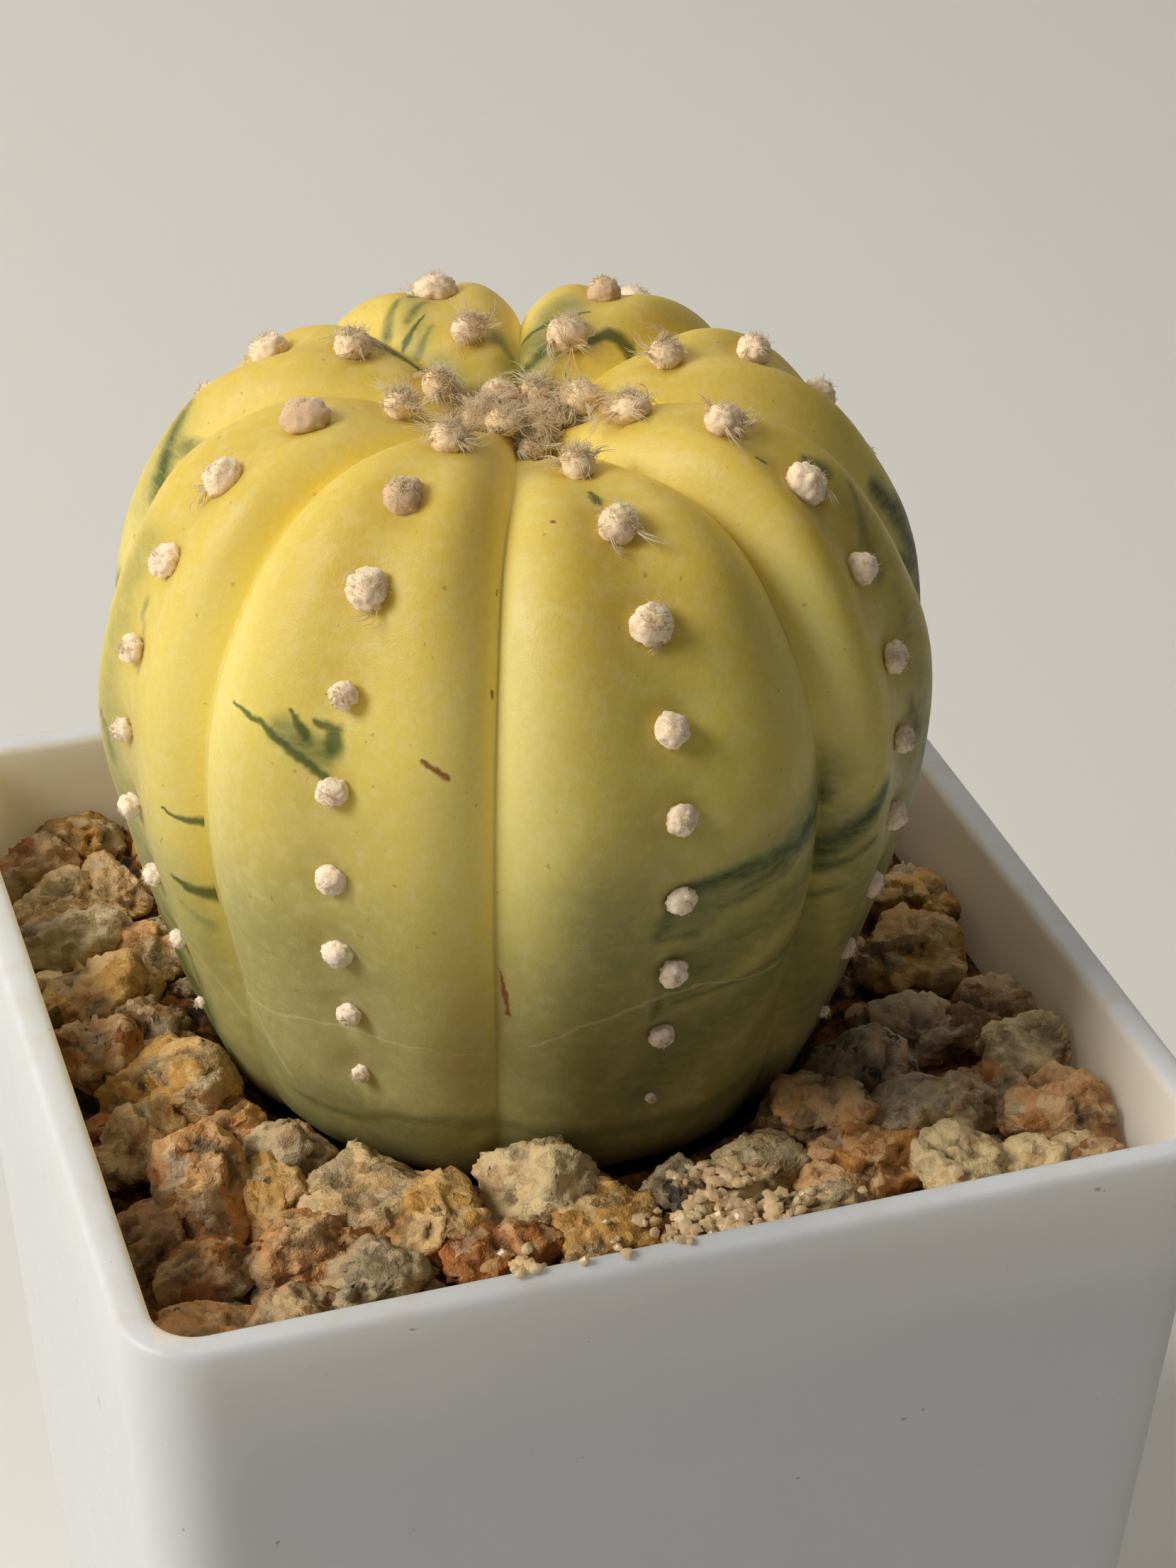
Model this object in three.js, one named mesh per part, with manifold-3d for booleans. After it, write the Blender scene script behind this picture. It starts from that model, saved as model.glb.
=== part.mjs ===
// A variegated star cactus with eight ribs in a square plastic pot, with grit on top of its soil.
// Millimetres, +Z up. The origin is the middle of the pot's underside, +X runs along its front face.
import * as THREE from "three";
import { mergeVertices } from "three/addons/utils/BufferGeometryUtils.js";
import { ConvexGeometry } from "three/addons/geometries/ConvexGeometry.js";
import Module from "manifold-3d";

const wasm = await Module();
wasm.setup();

// Pot
const POT_HEIGHT = 80;
const RIM_HALF = 35;
const BASE_HALF = 31;
const WALL = 2.2;
const FLOOR = 2.2;
const FLOOR_FILLET = 1;
const CORNER_RADIUS = 5;
const CORNER_STEPS = 5;
const EDGE_ROUND = 0.6;
const EDGE_SHOULDER = EDGE_ROUND * 0.3;
const DRAIN_RADIUS = 4;
const DRAIN_SPACING = 18;
const DRAIN_SIDES = 20;

// Fill
const CLEARANCE = 0.3;
const SOIL_TOP = POT_HEIGHT - 13.5;
const BED_TOP = POT_HEIGHT - 8.2;
const STONE_TOP = POT_HEIGHT - 3.6;
const STONE_TOP_SPREAD = 1.3;
const STONE_ROOT = 1.2;
const STONE_POINTS = 13;
const STONE_FLATNESS = 0.8;
const STONE_ROUGHNESS = 0.24;
const STONE_TWIST = 0.7;
const FILLER_SIZES = [6.8, 4.8];
const FILLER_SPREAD = 0.2;
const FILLER_WIDTH = 0.85;
const FILLER_TRIES = 700;
const FILLER_CROWDING = 0.42;
const PLANT_MARGIN = 0.3;
const WALL_MARGIN = 2.4;
const SEED = 8;

// Cactus
const AXIS_Y = 4.5;
const RIB_COUNT = 8;
const FIRST_GROOVE = -18.2;
const RIB_ANGLE = 360 / RIB_COUNT;
const RIB_FULLNESS = 0.985;
const CROWN_ROUNDNESS = 2.1;
const FLANK_ROUNDNESS = 3.6;
const ROUNDNESS_FROM = 8;
const ROUNDNESS_TO = 20;
const FLANK_SWELL = 0.24;
const SKIN_ROWS = 27;
const ROOT_ROWS = 5;
const FOOT_LEVEL = -11.4;
const SHARE_STEP = 0.001;
const HOLE_SIDES = 24;
const RIB_COLUMNS = [-1, -0.94, -0.82, -0.6, -0.22, 0.22, 0.6, 0.82, 0.94];

// The crest of a rib from the crown to the root's tip: radius, height above the rim, depth of the
// groove beside it.
const CREST = [
  [0, 34.4, 0],
  [3.6, 35.9, 0.9],
  [8.2, 38.0, 1.9],
  [14.0, 38.3, 2.7],
  [19.5, 35.3, 3.2],
  [23.2, 30.6, 3.5],
  [25.7, 25.0, 3.7],
  [26.6, 19.0, 3.8],
  [26.3, 13.2, 3.6],
  [25.2, 8.2, 3.0],
  [23.8, 2.8, 2.0],
  [22.4, -3.2, 1.0],
  [19.8, -8.6, 0.4],
  [13.5, -12.0, 0.1],
  [6.5, -14.0, 0],
  [3.2, -18.5, 0],
  [2.2, -27.0, 0],
  [0, -36.0, 0],
];

// Each rib from the one left of the front groove on, anticlockwise seen from above: how much its top
// stands above the common line, how far its crest and the groove after it are turned from their
// even places in degrees, how far out along the crest its first areole sits, and the distance from
// one areole to the next.
const RIBS = [
  { rise: 0.6, turn: 0, grooveTurn: 0, firstAreole: 11.3, spacing: 6.15 },
  { rise: -1.2, turn: 0, grooveTurn: 5, firstAreole: 10.9, spacing: 6.45 },
  { rise: 0, turn: -2, grooveTurn: 0, firstAreole: 8.6, spacing: 6.2 },
  { rise: 0, turn: 0, grooveTurn: 0, firstAreole: 5.0, spacing: 6.15 },
  { rise: 0, turn: 0, grooveTurn: 0, firstAreole: 9.0, spacing: 6.15 },
  { rise: 0, turn: 0, grooveTurn: 0, firstAreole: 3.4, spacing: 6.15 },
  { rise: 0, turn: 0, grooveTurn: 0, firstAreole: 6.2, spacing: 6.15 },
  { rise: 0, turn: 2, grooveTurn: -3.5, firstAreole: 8.8, spacing: 6.15 },
];
const RISE_FROM = 14;
const RISE_TO = 34;

// Areoles
const AREOLE_LOW_SPACING = 0.82;
const AREOLE_LOW_LEVEL = 12;
const AREOLE_LAST_LEVEL = -3.5;
const AREOLE_FULL_LEVEL = 36;
const AREOLE_TOP_RADIUS = 1.6;
const AREOLE_LOW_RADIUS = 0.85;
const AREOLE_HEIGHT_RATIO = 0.72;
const CROWN_TUFTS = 6;
const CROWN_TUFT_RADIUS = 2.1;
const CROWN_RING = 2.6;
const CROWN_TUFT_LIFT = 0.6;

// The stones seen at the front and the sides: x, y, length, width, turn in degrees.
const STONES = [
  [-29, 27, 8, 6, 20],
  [-25, 30.5, 5, 6, 80],
  [-28.5, 22.5, 9, 6, 15],
  [-24.6, 23.5, 5, 8, 10],
  [-28, 17.5, 10, 6, 0],
  [-24.2, 15.5, 5, 8, 10],
  [-28, 11, 9.5, 9, 30],
  [-29.5, 3, 7, 8, 0],
  [-25.6, 6, 7, 6, 40],
  [-25.4, -0.5, 10, 9, -20],
  [-29, -7, 7.5, 6.5, 10],
  [-23.5, -6.5, 8.5, 5.5, 10],
  [-20, -10, 6.5, 6.5, 0],
  [-26.5, -12.6, 8.5, 9, 0],
  [-22, -14.2, 5.5, 9, 5],
  [-30, -15.5, 5, 6, 0],
  [-16.5, -15.2, 10, 11, 35],
  [-21, -19.6, 9, 8, 20],
  [-27.3, -20, 8, 5.5, 10],
  [-28.8, -25, 7, 6, 0],
  [-18, -23.6, 9, 6, 15],
  [-13.6, -20, 8, 9, 30],
  [-23, -26, 7, 6, 0],
  [-9.4, -23.2, 8.5, 6, -15],
  [-5, -18.8, 8.5, 8, 0],
  [-2.4, -23, 7, 9, -15],
  [-15.4, -27.5, 9, 4.5, 15],
  [8, -20.8, 9, 6, 10],
  [9, -26, 10.5, 6, 10],
  [13, -23.4, 5, 7, 10],
  [14, -17, 9.5, 8, 10],
  [16, -22.4, 9.5, 6.5, -5],
  [18.4, -12.4, 8.5, 8, 0],
  [21.4, -18, 12, 6.5, 5],
  [20.8, -24, 7.5, 8.5, 40],
  [24.4, -9.4, 9.5, 6, -20],
  [26.6, -17.6, 6, 8, 0],
  [29.4, -21.6, 9, 8, 10],
  [25.6, -26.4, 10, 6, 5],
  [30, -15.6, 8, 7, -10],
  [29.4, -9.8, 8, 7.5, 0],
  [26.6, -2, 8.5, 9, 20],
  [29.8, 4, 7, 7, 0],
  [26.4, 10, 6, 7, 0],
  [17.6, -28, 9, 4.5, 0],
  [29.4, -27.6, 6, 6, 0],
  [3.2, -20.6, 6, 5, 0],
  [2.6, -26.4, 7, 6, 0],
  [-8.6, -28, 6.5, 4.5, 0],
];

// Makes a repeatable source of numbers between 0 and 1.
function seededRandom(seed) {
  let state = seed;
  return () => {
    state = (state * 1664525 + 1013904223) % 4294967296;
    return state / 4294967296;
  };
}

// Turns a closed geometry into a solid that can be joined and cut.
function toSolid(geometry) {
  const bare = geometry.clone();
  bare.deleteAttribute("normal");
  bare.deleteAttribute("uv");
  const merged = mergeVertices(bare, 1e-4);
  const mesh = new wasm.Mesh({
    numProp: 3,
    vertProperties: Float32Array.from(merged.attributes.position.array),
    triVerts: Uint32Array.from(merged.index.array),
  });
  return new wasm.Manifold(mesh);
}

// Turns a solid back into a geometry with flat-shaded faces.
function toGeometry(solid) {
  const mesh = solid.getMesh();
  const geometry = new THREE.BufferGeometry();
  geometry.setAttribute("position", new THREE.BufferAttribute(mesh.vertProperties, 3));
  geometry.setIndex(new THREE.BufferAttribute(mesh.triVerts, 1));
  geometry.computeVertexNormals();
  return geometry;
}

// Joins rings of equal point counts, from the first to the last, and closes both ends at a point.
function loft(rings, startPole, endPole) {
  const count = rings[0].length;
  const points = rings.flat();
  const index = [];
  const startIndex = points.push(startPole) - 1;
  const endIndex = points.push(endPole) - 1;
  const lastRow = (rings.length - 1) * count;
  for (let column = 0; column < count; column++) {
    const next = (column + 1) % count;
    index.push(startIndex, next, column);
    index.push(endIndex, lastRow + column, lastRow + next);
    for (let row = 0; row < rings.length - 1; row++) {
      const a = row * count + column;
      const b = row * count + next;
      index.push(a, b, b + count, a, b + count, a + count);
    }
  }
  const geometry = new THREE.BufferGeometry();
  geometry.setAttribute("position", new THREE.Float32BufferAttribute(points.flat(), 3));
  geometry.setIndex(index);
  geometry.computeVertexNormals();
  return geometry;
}

// The points of a square with rounded corners at one height, anticlockwise seen from above.
function squareRing(half, radius, z) {
  const ring = [];
  for (let corner = 0; corner < 4; corner++) {
    const start = (corner * Math.PI) / 2;
    const centreX = (half - radius) * Math.SQRT2 * Math.cos(start + Math.PI / 4);
    const centreY = (half - radius) * Math.SQRT2 * Math.sin(start + Math.PI / 4);
    for (let step = 0; step <= CORNER_STEPS; step++) {
      const angle = start + (step / CORNER_STEPS) * (Math.PI / 2);
      ring.push([centreX + radius * Math.cos(angle), centreY + radius * Math.sin(angle), z]);
    }
  }
  return ring;
}

// Half the pot's outer width at a height.
function potHalf(z) {
  return THREE.MathUtils.lerp(BASE_HALF, RIM_HALF, z / POT_HEIGHT);
}

// The pot's inside at a height, drawn in by a distance.
function insideRing(z, inset) {
  return squareRing(potHalf(z) - WALL - inset, CORNER_RADIUS - WALL - CLEARANCE, z);
}

// A closed square body that fills the pot's inside between two heights, clear of its walls.
function insidePot(bottom, top) {
  const rings = [insideRing(bottom, CLEARANCE), insideRing(top, CLEARANCE)];
  return loft(rings, [0, 0, bottom], [0, 0, top]);
}

// The pot: one shell with a rounded rim, a flat floor and drain holes.
function makePot() {
  const inner = CORNER_RADIUS - WALL;
  const rings = [
    squareRing(BASE_HALF - EDGE_ROUND, CORNER_RADIUS, 0),
    squareRing(potHalf(EDGE_ROUND), CORNER_RADIUS, EDGE_ROUND),
    squareRing(potHalf(POT_HEIGHT - EDGE_ROUND), CORNER_RADIUS, POT_HEIGHT - EDGE_ROUND),
    squareRing(RIM_HALF - EDGE_SHOULDER, CORNER_RADIUS, POT_HEIGHT - EDGE_SHOULDER),
    squareRing(RIM_HALF - EDGE_ROUND, CORNER_RADIUS - EDGE_ROUND, POT_HEIGHT),
    squareRing(RIM_HALF - WALL + EDGE_ROUND, inner + EDGE_ROUND, POT_HEIGHT),
    squareRing(RIM_HALF - WALL + EDGE_SHOULDER, inner, POT_HEIGHT - EDGE_SHOULDER),
    squareRing(potHalf(POT_HEIGHT - EDGE_ROUND) - WALL, inner, POT_HEIGHT - EDGE_ROUND),
    squareRing(potHalf(FLOOR + FLOOR_FILLET) - WALL, inner, FLOOR + FLOOR_FILLET),
    squareRing(potHalf(FLOOR) - WALL - FLOOR_FILLET, inner, FLOOR),
  ];
  let pot = toSolid(loft(rings, [0, 0, 0], [0, 0, FLOOR]));
  const places = [[0, 0], [1, 1], [1, -1], [-1, 1], [-1, -1]];
  for (const [sideX, sideY] of places) {
    const drain = new THREE.CylinderGeometry(DRAIN_RADIUS, DRAIN_RADIUS, FLOOR * 4, DRAIN_SIDES);
    drain.rotateX(Math.PI / 2);
    drain.translate(sideX * DRAIN_SPACING, sideY * DRAIN_SPACING, 0);
    pot = pot.subtract(toSolid(drain));
  }
  return toGeometry(pot);
}

const crestCurve = new THREE.CatmullRomCurve3(CREST.map((point) => new THREE.Vector3(...point)));
crestCurve.curveType = "centripetal";

// The crest's radius, height and groove depth at a share of its length, and its outward direction.
function crestAt(share) {
  const point = crestCurve.getPointAt(share);
  const tangent = crestCurve.getTangentAt(share);
  const outward = new THREE.Vector2(-tangent.y, tangent.x).normalize();
  return { radius: point.x, height: point.y, depth: Math.max(point.z, 0), outward };
}

// How much higher than the common line the plant's top is towards a rib position.
function riseAt(rib, across, height) {
  const side = across < 0 ? rib - 1 : rib + 1;
  const neighbour = RIBS[(side + RIB_COUNT) % RIB_COUNT].rise;
  const share = 0.5 * across * across;
  const rise = RIBS[rib].rise * (1 - share) + neighbour * share;
  return rise * THREE.MathUtils.smoothstep(height, RISE_FROM, RISE_TO);
}

// How wide the plant is at a radius: 0 in the crown, 1 on the flanks.
function wideness(radius) {
  return THREE.MathUtils.smoothstep(radius, ROUNDNESS_FROM, ROUNDNESS_TO);
}

// The direction away from the axis at a rib position: 0 is a rib's crest, -1 and 1 its grooves.
function directionAt(rib, across, radius) {
  const before = RIBS[(rib + RIB_COUNT - 1) % RIB_COUNT].grooveTurn * across * (across - 1);
  const after = RIBS[rib].grooveTurn * across * (across + 1);
  const turn = RIBS[rib].turn * (1 - across * across) + (before + after) / 2;
  const degrees = FIRST_GROOVE + RIB_ANGLE * (rib - 0.5 + across / 2) + turn * wideness(radius);
  const angle = THREE.MathUtils.degToRad(degrees);
  return [Math.sin(angle), -Math.cos(angle)];
}

// How far a rib's section falls below its crest, as a share of the groove's depth: round near the
// crown, and broad with narrow grooves and slightly swollen flanks where the plant is wide.
function lobeAt(across, radius) {
  const wide = wideness(radius);
  const power = THREE.MathUtils.lerp(CROWN_ROUNDNESS, FLANK_ROUNDNESS, wide);
  const fall = (value) => 1 - (1 - (RIB_FULLNESS * value) ** power) ** (1 / power);
  const swell = FLANK_SWELL * wide * Math.sin(Math.PI * Math.abs(across)) ** 2;
  return fall(Math.abs(across)) / fall(1) - swell;
}

// A point of the skin, moved outward by a distance.
function skinPoint(share, rib, across, grow) {
  const crest = crestAt(share);
  const inward = crest.depth * lobeAt(across, crest.radius) - grow;
  const radius = Math.max(crest.radius - crest.outward.x * inward, 0);
  const height = crest.height - crest.outward.y * inward;
  const [x, y] = directionAt(rib, across, crest.radius);
  const z = POT_HEIGHT + height + riseAt(rib, across, height);
  return [x * radius, AXIS_Y + y * radius, z];
}

// The share of the crest's length at which it passes under a height.
function shareAtHeight(height) {
  let share = 0.5;
  while (crestAt(share).height > height) {
    share += SHARE_STEP;
  }
  return share;
}

// The body and its root, grown by a distance.
function makeBody(grow) {
  const rings = [];
  const foot = shareAtHeight(FOOT_LEVEL);
  for (let row = SKIN_ROWS + ROOT_ROWS; row > 0; row--) {
    const below = Math.max(row - SKIN_ROWS, 0) / (ROOT_ROWS + 1);
    const share = foot * Math.min(row / SKIN_ROWS, 1) + (1 - foot) * below;
    const ring = [];
    for (let rib = 0; rib < RIB_COUNT; rib++) {
      for (const across of RIB_COLUMNS) {
        ring.push(skinPoint(share, rib, across, grow));
      }
    }
    rings.push(ring);
  }
  return loft(rings, skinPoint(1, 0, 0, grow), skinPoint(0, 0, 0, grow));
}

// A low lump of wool whose foot is sunk in the skin.
function makeLump(radius, centre, outward) {
  const lump = new THREE.IcosahedronGeometry(radius, 0);
  lump.scale(1, 1, AREOLE_HEIGHT_RATIO);
  const turn = new THREE.Quaternion().setFromUnitVectors(new THREE.Vector3(0, 0, 1), outward);
  lump.applyQuaternion(turn);
  lump.translate(centre.x, centre.y, centre.z);
  return lump;
}

// The areoles of one rib, from the crown down to the grit.
function makeAreoles(rib) {
  const lumps = [];
  const length = crestCurve.getLength();
  let along = RIBS[rib].firstAreole;
  let height = crestAt(along / length).height;
  while (height > AREOLE_LAST_LEVEL) {
    const share = along / length;
    const crest = crestAt(share);
    const age = THREE.MathUtils.smoothstep(-crest.height, -AREOLE_FULL_LEVEL, 0);
    const radius = THREE.MathUtils.lerp(AREOLE_TOP_RADIUS, AREOLE_LOW_RADIUS, age);
    const [x, y] = directionAt(rib, 0, crest.radius);
    const outward = new THREE.Vector3(x * crest.outward.x, y * crest.outward.x, crest.outward.y);
    const centre = new THREE.Vector3(...skinPoint(share, rib, 0, 0));
    lumps.push(makeLump(radius, centre, outward));
    along += RIBS[rib].spacing * (crest.height > AREOLE_LOW_LEVEL ? 1 : AREOLE_LOW_SPACING);
    height = crestAt(along / length).height;
  }
  return lumps;
}

// The plant: body, root, areoles and the wool in the crown, grown as one piece.
function makeCactus() {
  const solids = [toSolid(makeBody(0))];
  for (let rib = 0; rib < RIB_COUNT; rib++) {
    solids.push(...makeAreoles(rib).map(toSolid));
  }
  const up = new THREE.Vector3(0, 0, 1);
  for (let tuft = 0; tuft < CROWN_TUFTS; tuft++) {
    const angle = (tuft / CROWN_TUFTS) * Math.PI * 2;
    const x = CROWN_RING * Math.cos(angle);
    const y = AXIS_Y + CROWN_RING * Math.sin(angle);
    const centre = new THREE.Vector3(x, y, POT_HEIGHT + CREST[0][1] + CROWN_TUFT_LIFT);
    solids.push(toSolid(makeLump(CROWN_TUFT_RADIUS, centre, up)));
  }
  return toGeometry(wasm.Manifold.union(solids));
}

// An angular stone that stands at the grit's level and reaches down into the bed.
function makeStone(random, x, y, length, width, turn) {
  const points = [];
  const height = Math.min(length, width) * STONE_FLATNESS;
  const level = STONE_TOP + (random() * 2 - 1) * STONE_TOP_SPREAD;
  const top = Math.min(level, BED_TOP - STONE_ROOT + height);
  for (let i = 0; i < STONE_POINTS; i++) {
    const rise = 1 - (2 * (i + 0.5)) / STONE_POINTS;
    const angle = i * Math.PI * (3 - Math.sqrt(5)) + random() * STONE_TWIST;
    const reach = (1 + (random() - 0.5) * STONE_ROUGHNESS) / 2;
    const ring = Math.sqrt(1 - rise * rise);
    const px = Math.cos(angle) * ring * reach * length;
    const py = Math.sin(angle) * ring * reach * width;
    points.push(new THREE.Vector3(px, py, rise * reach * height));
  }
  const stone = new ConvexGeometry(points);
  stone.rotateZ(THREE.MathUtils.degToRad(turn));
  stone.translate(x, y, top - height / 2);
  return stone;
}

// The places of the stones: those seen, then a seeded rule for the rest.
function stonePlaces(random) {
  const places = STONES.map((stone) => [...stone]);
  const reach = RIM_HALF - WALL - WALL_MARGIN;
  const plantRadius = crestAt(shareAtHeight(STONE_TOP - POT_HEIGHT)).radius;
  for (const fillerSize of FILLER_SIZES) {
    for (let i = 0; i < FILLER_TRIES; i++) {
      const x = (random() * 2 - 1) * reach;
      const y = (random() * 2 - 1) * reach;
      const size = fillerSize * (1 + (random() * 2 - 1) * FILLER_SPREAD);
      const turn = random() * 180;
      const clearOfPlant = Math.hypot(x, y - AXIS_Y) > plantRadius + size * PLANT_MARGIN;
      const room = ([px, py, length, width]) =>
        Math.hypot(px - x, py - y) > ((length + width) / 2 + size) * FILLER_CROWDING;
      if (clearOfPlant && places.every(room)) {
        places.push([x, y, size, size * FILLER_WIDTH, turn]);
      }
    }
  }
  return places;
}

// The grit: angular stones on a bed, open where the plant stands.
function makeGravel() {
  const random = seededRandom(SEED);
  const solids = [toSolid(insidePot(SOIL_TOP + CLEARANCE, BED_TOP))];
  for (const place of stonePlaces(random)) {
    solids.push(toSolid(makeStone(random, ...place)));
  }
  const limit = toSolid(insidePot(SOIL_TOP + CLEARANCE, POT_HEIGHT));
  const open = wasm.Manifold.union(solids).intersect(limit).subtract(toSolid(makeBody(CLEARANCE)));
  const pieces = open.decompose();
  pieces.sort((a, b) => b.volume() - a.volume());
  return toGeometry(pieces[0]);
}

// A round body that clears the plant's foot and root.
function makeRootHole() {
  const foot = shareAtHeight(FOOT_LEVEL);
  const outside = 1 / Math.cos(Math.PI / HOLE_SIDES);
  const steps = ROOT_ROWS * 2;
  const points = [new THREE.Vector2(0, POT_HEIGHT + crestAt(1).height - CLEARANCE * 2)];
  for (let step = steps - 1; step >= 0; step--) {
    const crest = crestAt(foot + (1 - foot) * (step / steps));
    const radius = (crest.radius + CLEARANCE * 2) * outside;
    points.push(new THREE.Vector2(radius, POT_HEIGHT + crest.height - CLEARANCE));
  }
  points.push(new THREE.Vector2(0, POT_HEIGHT + FOOT_LEVEL));
  const hole = new THREE.LatheGeometry(points, HOLE_SIDES);
  hole.rotateX(Math.PI / 2);
  hole.translate(0, AXIS_Y, 0);
  return hole;
}

// The soil under the grit, with a plain hole for the plant's foot and root.
function makeSoil() {
  const bottom = FLOOR + CLEARANCE;
  const rings = [
    insideRing(bottom, FLOOR_FILLET + CLEARANCE),
    insideRing(bottom + FLOOR_FILLET, CLEARANCE),
    insideRing(SOIL_TOP, CLEARANCE),
  ];
  const soil = toSolid(loft(rings, [0, 0, bottom], [0, 0, SOIL_TOP]));
  return toGeometry(soil.subtract(toSolid(makeRootHole())));
}

function makeMesh(name, geometry, color, roughness) {
  const material = new THREE.MeshStandardMaterial({ color, roughness, metalness: 0 });
  const mesh = new THREE.Mesh(geometry, material);
  mesh.name = name;
  return mesh;
}

const pottedCactus = new THREE.Group();
pottedCactus.add(makeMesh("pot", makePot(), 0xe8e6e2, 0.45));
pottedCactus.add(makeMesh("soil", makeSoil(), 0x3b2c20, 0.95));
pottedCactus.add(makeMesh("gravel", makeGravel(), 0xb0845a, 0.8));
pottedCactus.add(makeMesh("cactus", makeCactus(), 0xcdb84e, 0.5));

export default pottedCactus;
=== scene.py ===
"""A variegated star cactus in a square plastic pot with granite grit, dressed around its CAD frame.

Metres, +Z up. The origin is the middle of the pot's underside and -Y is the front.
Sizes in the functions are in millimetres, and are turned into metres when a mesh is made.
"""

import math

import bmesh
import bpy
import numpy as np
from mathutils import Matrix, Vector, noise
from mathutils.bvhtree import BVHTree


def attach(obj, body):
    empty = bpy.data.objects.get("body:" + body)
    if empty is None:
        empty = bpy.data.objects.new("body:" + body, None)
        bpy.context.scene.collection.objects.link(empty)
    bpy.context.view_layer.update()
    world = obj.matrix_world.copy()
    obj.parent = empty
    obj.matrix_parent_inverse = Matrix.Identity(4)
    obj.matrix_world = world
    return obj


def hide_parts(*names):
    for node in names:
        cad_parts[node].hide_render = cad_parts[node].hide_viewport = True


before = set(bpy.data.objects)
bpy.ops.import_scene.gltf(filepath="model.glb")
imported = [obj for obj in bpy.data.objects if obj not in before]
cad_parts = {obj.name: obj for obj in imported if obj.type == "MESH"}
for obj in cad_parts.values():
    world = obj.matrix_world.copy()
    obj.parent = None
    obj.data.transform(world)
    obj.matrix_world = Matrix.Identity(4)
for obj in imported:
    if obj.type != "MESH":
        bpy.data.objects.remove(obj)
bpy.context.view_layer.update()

bl_info = {
    "name": "Potted star cactus",
    "version": (1, 0, 0),
    "blender": (4, 5, 0),
    "location": "3D View > Sidebar > Cactus",
    "description": "Builds a variegated star cactus, its pot, grit and wool around the packed frame",
    "category": "Add Mesh",
}

MM = 0.001
TURN = 2 * math.pi
QUARTER = math.pi / 2
HALF = (0.5, 0.5, 0.5)

# Pot
POT_HEIGHT = 80
RIM_HALF = 35
BASE_HALF = 31
WALL = 2.2
FLOOR = 2.2
FLOOR_FILLET = 1
CORNER_RADIUS = 5
CORNER_STEPS = 14
EDGE_ROUND = 0.6
EDGE_STEPS = 5
WALL_ROWS = 6
DRAIN_RADIUS = 4
DRAIN_SPACING = 18
DRAIN_SIDES = 48
DRAIN_PLACES = ((0, 0), (1, 1), (1, -1), (-1, 1), (-1, -1))

# Grit
BED_TOP = POT_HEIGHT - 8.2
STONE_TOP = POT_HEIGHT - 3.6
STONE_TOP_SPREAD = 1.3
STONE_ROOT = 1.2
STONE_POINTS = 13
STONE_FLATNESS = 0.8
FILLER_SIZES = (6.8, 4.8)
FILLER_SPREAD = 0.2
FILLER_WIDTH = 0.85
FILLER_TRIES = 700
FILLER_CROWDING = 0.42
PLANT_MARGIN = 0.3
PLANT_RADIUS = 22.37
WALL_MARGIN = 2.4
SEED = 8
STONE_FACES = 17
CHIP_FACES = 6
CHIP_SIZE = 3.0
CHIP_SIZES = (0.6, 0.8)
CHIP_SINK = 0.4
CHIP_LEVELS = 1.6
CHIP_TRIES = 1500
CHIP_WALL_MARGIN = 1.6
CHIP_PLANT_MARGIN = 0.2
CHIP_CROWDING = 0.21
CHIP_SPACING = 0.4
CHIP_SHAPE = (0.8, 0.75)
CHIP_RELIEF = 0.4
PALE_STONE_MICA = 0.1
SAND_FACES = 2
SAND_RADII = (0.26, 0.34)
SAND_SQUASH = (1.0, 1.0, 0.72)
SAND_TOP = POT_HEIGHT - 3.0
SAND_BED = POT_HEIGHT - 5.4
FACET_COUNT = 18
FACET_NEAR = 0.62
FACET_FAR = 0.95
FACET_LIMIT = 1.15
FACET_SHARPNESS = 34
FACET_GRAZING = 0.05
LARGE_FACE = 3.4
SMALL_FACE = 1.5
SMALL_FACE_HEIGHT = 0.42
ROUGH_SCALE = 1.5
ROUGH_HEIGHT = 0.18
STONE_WALL_GAP = 0.5
STONE_WALL_TAPER = 0.05
BED_DEPTH = 5.0
BED_EDGE = 0.6
BED_WALL_GAP = 1.0
BED_CORNER = 1.33
BED_CRUMBLE = 0.7
CRUMBLE_SCALE = 0.9
BED_RINGS = 26
BED_COLUMNS = 300
# The room the grit leaves for the plant: heights and radii.
PLANT_LEVELS = (64.0, 68.6, 71.4, 76.8, 82.8)
PLANT_WIDTHS = (10.6, 20.2, 21.3, 22.75, 24.1)

# Cactus
AXIS_Y = 4.5
RIB_COUNT = 8
FIRST_GROOVE = -18.2
RIB_ANGLE = 360 / RIB_COUNT
RIB_FULLNESS = 0.95
CROWN_ROUNDNESS = 2.1
FLANK_ROUNDNESS = 3.6
ROUNDNESS_FROM = 8
ROUNDNESS_TO = 20
FLANK_SWELL = 0.28
FOOT_LEVEL = -11.4
RISE_FROM = 14
RISE_TO = 34
AREOLE_LOW_SPACING = 0.92
AREOLE_LOW_LEVEL = 29
AREOLE_LAST_LEVEL = -3.5
SKIN_COLUMNS = 44
SKIN_ROWS = 230
CREASE_CLUSTERING = 0.4
ROOT_ROWS = 14
NOTCH_DEPTH = 0.3
NOTCH_REACH = (0.3, 2.6)
UNEVEN_SCALE = 0.11
UNEVEN_EDGE = (0.7, 1.0)
UNEVEN_RADII = (4, 14)
STREAK_SPREAD = 1.5
STREAK_TAPER = 0.45
RIB_SPACING = 1000
SKIN_UNEVENNESS = 0.35

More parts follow.
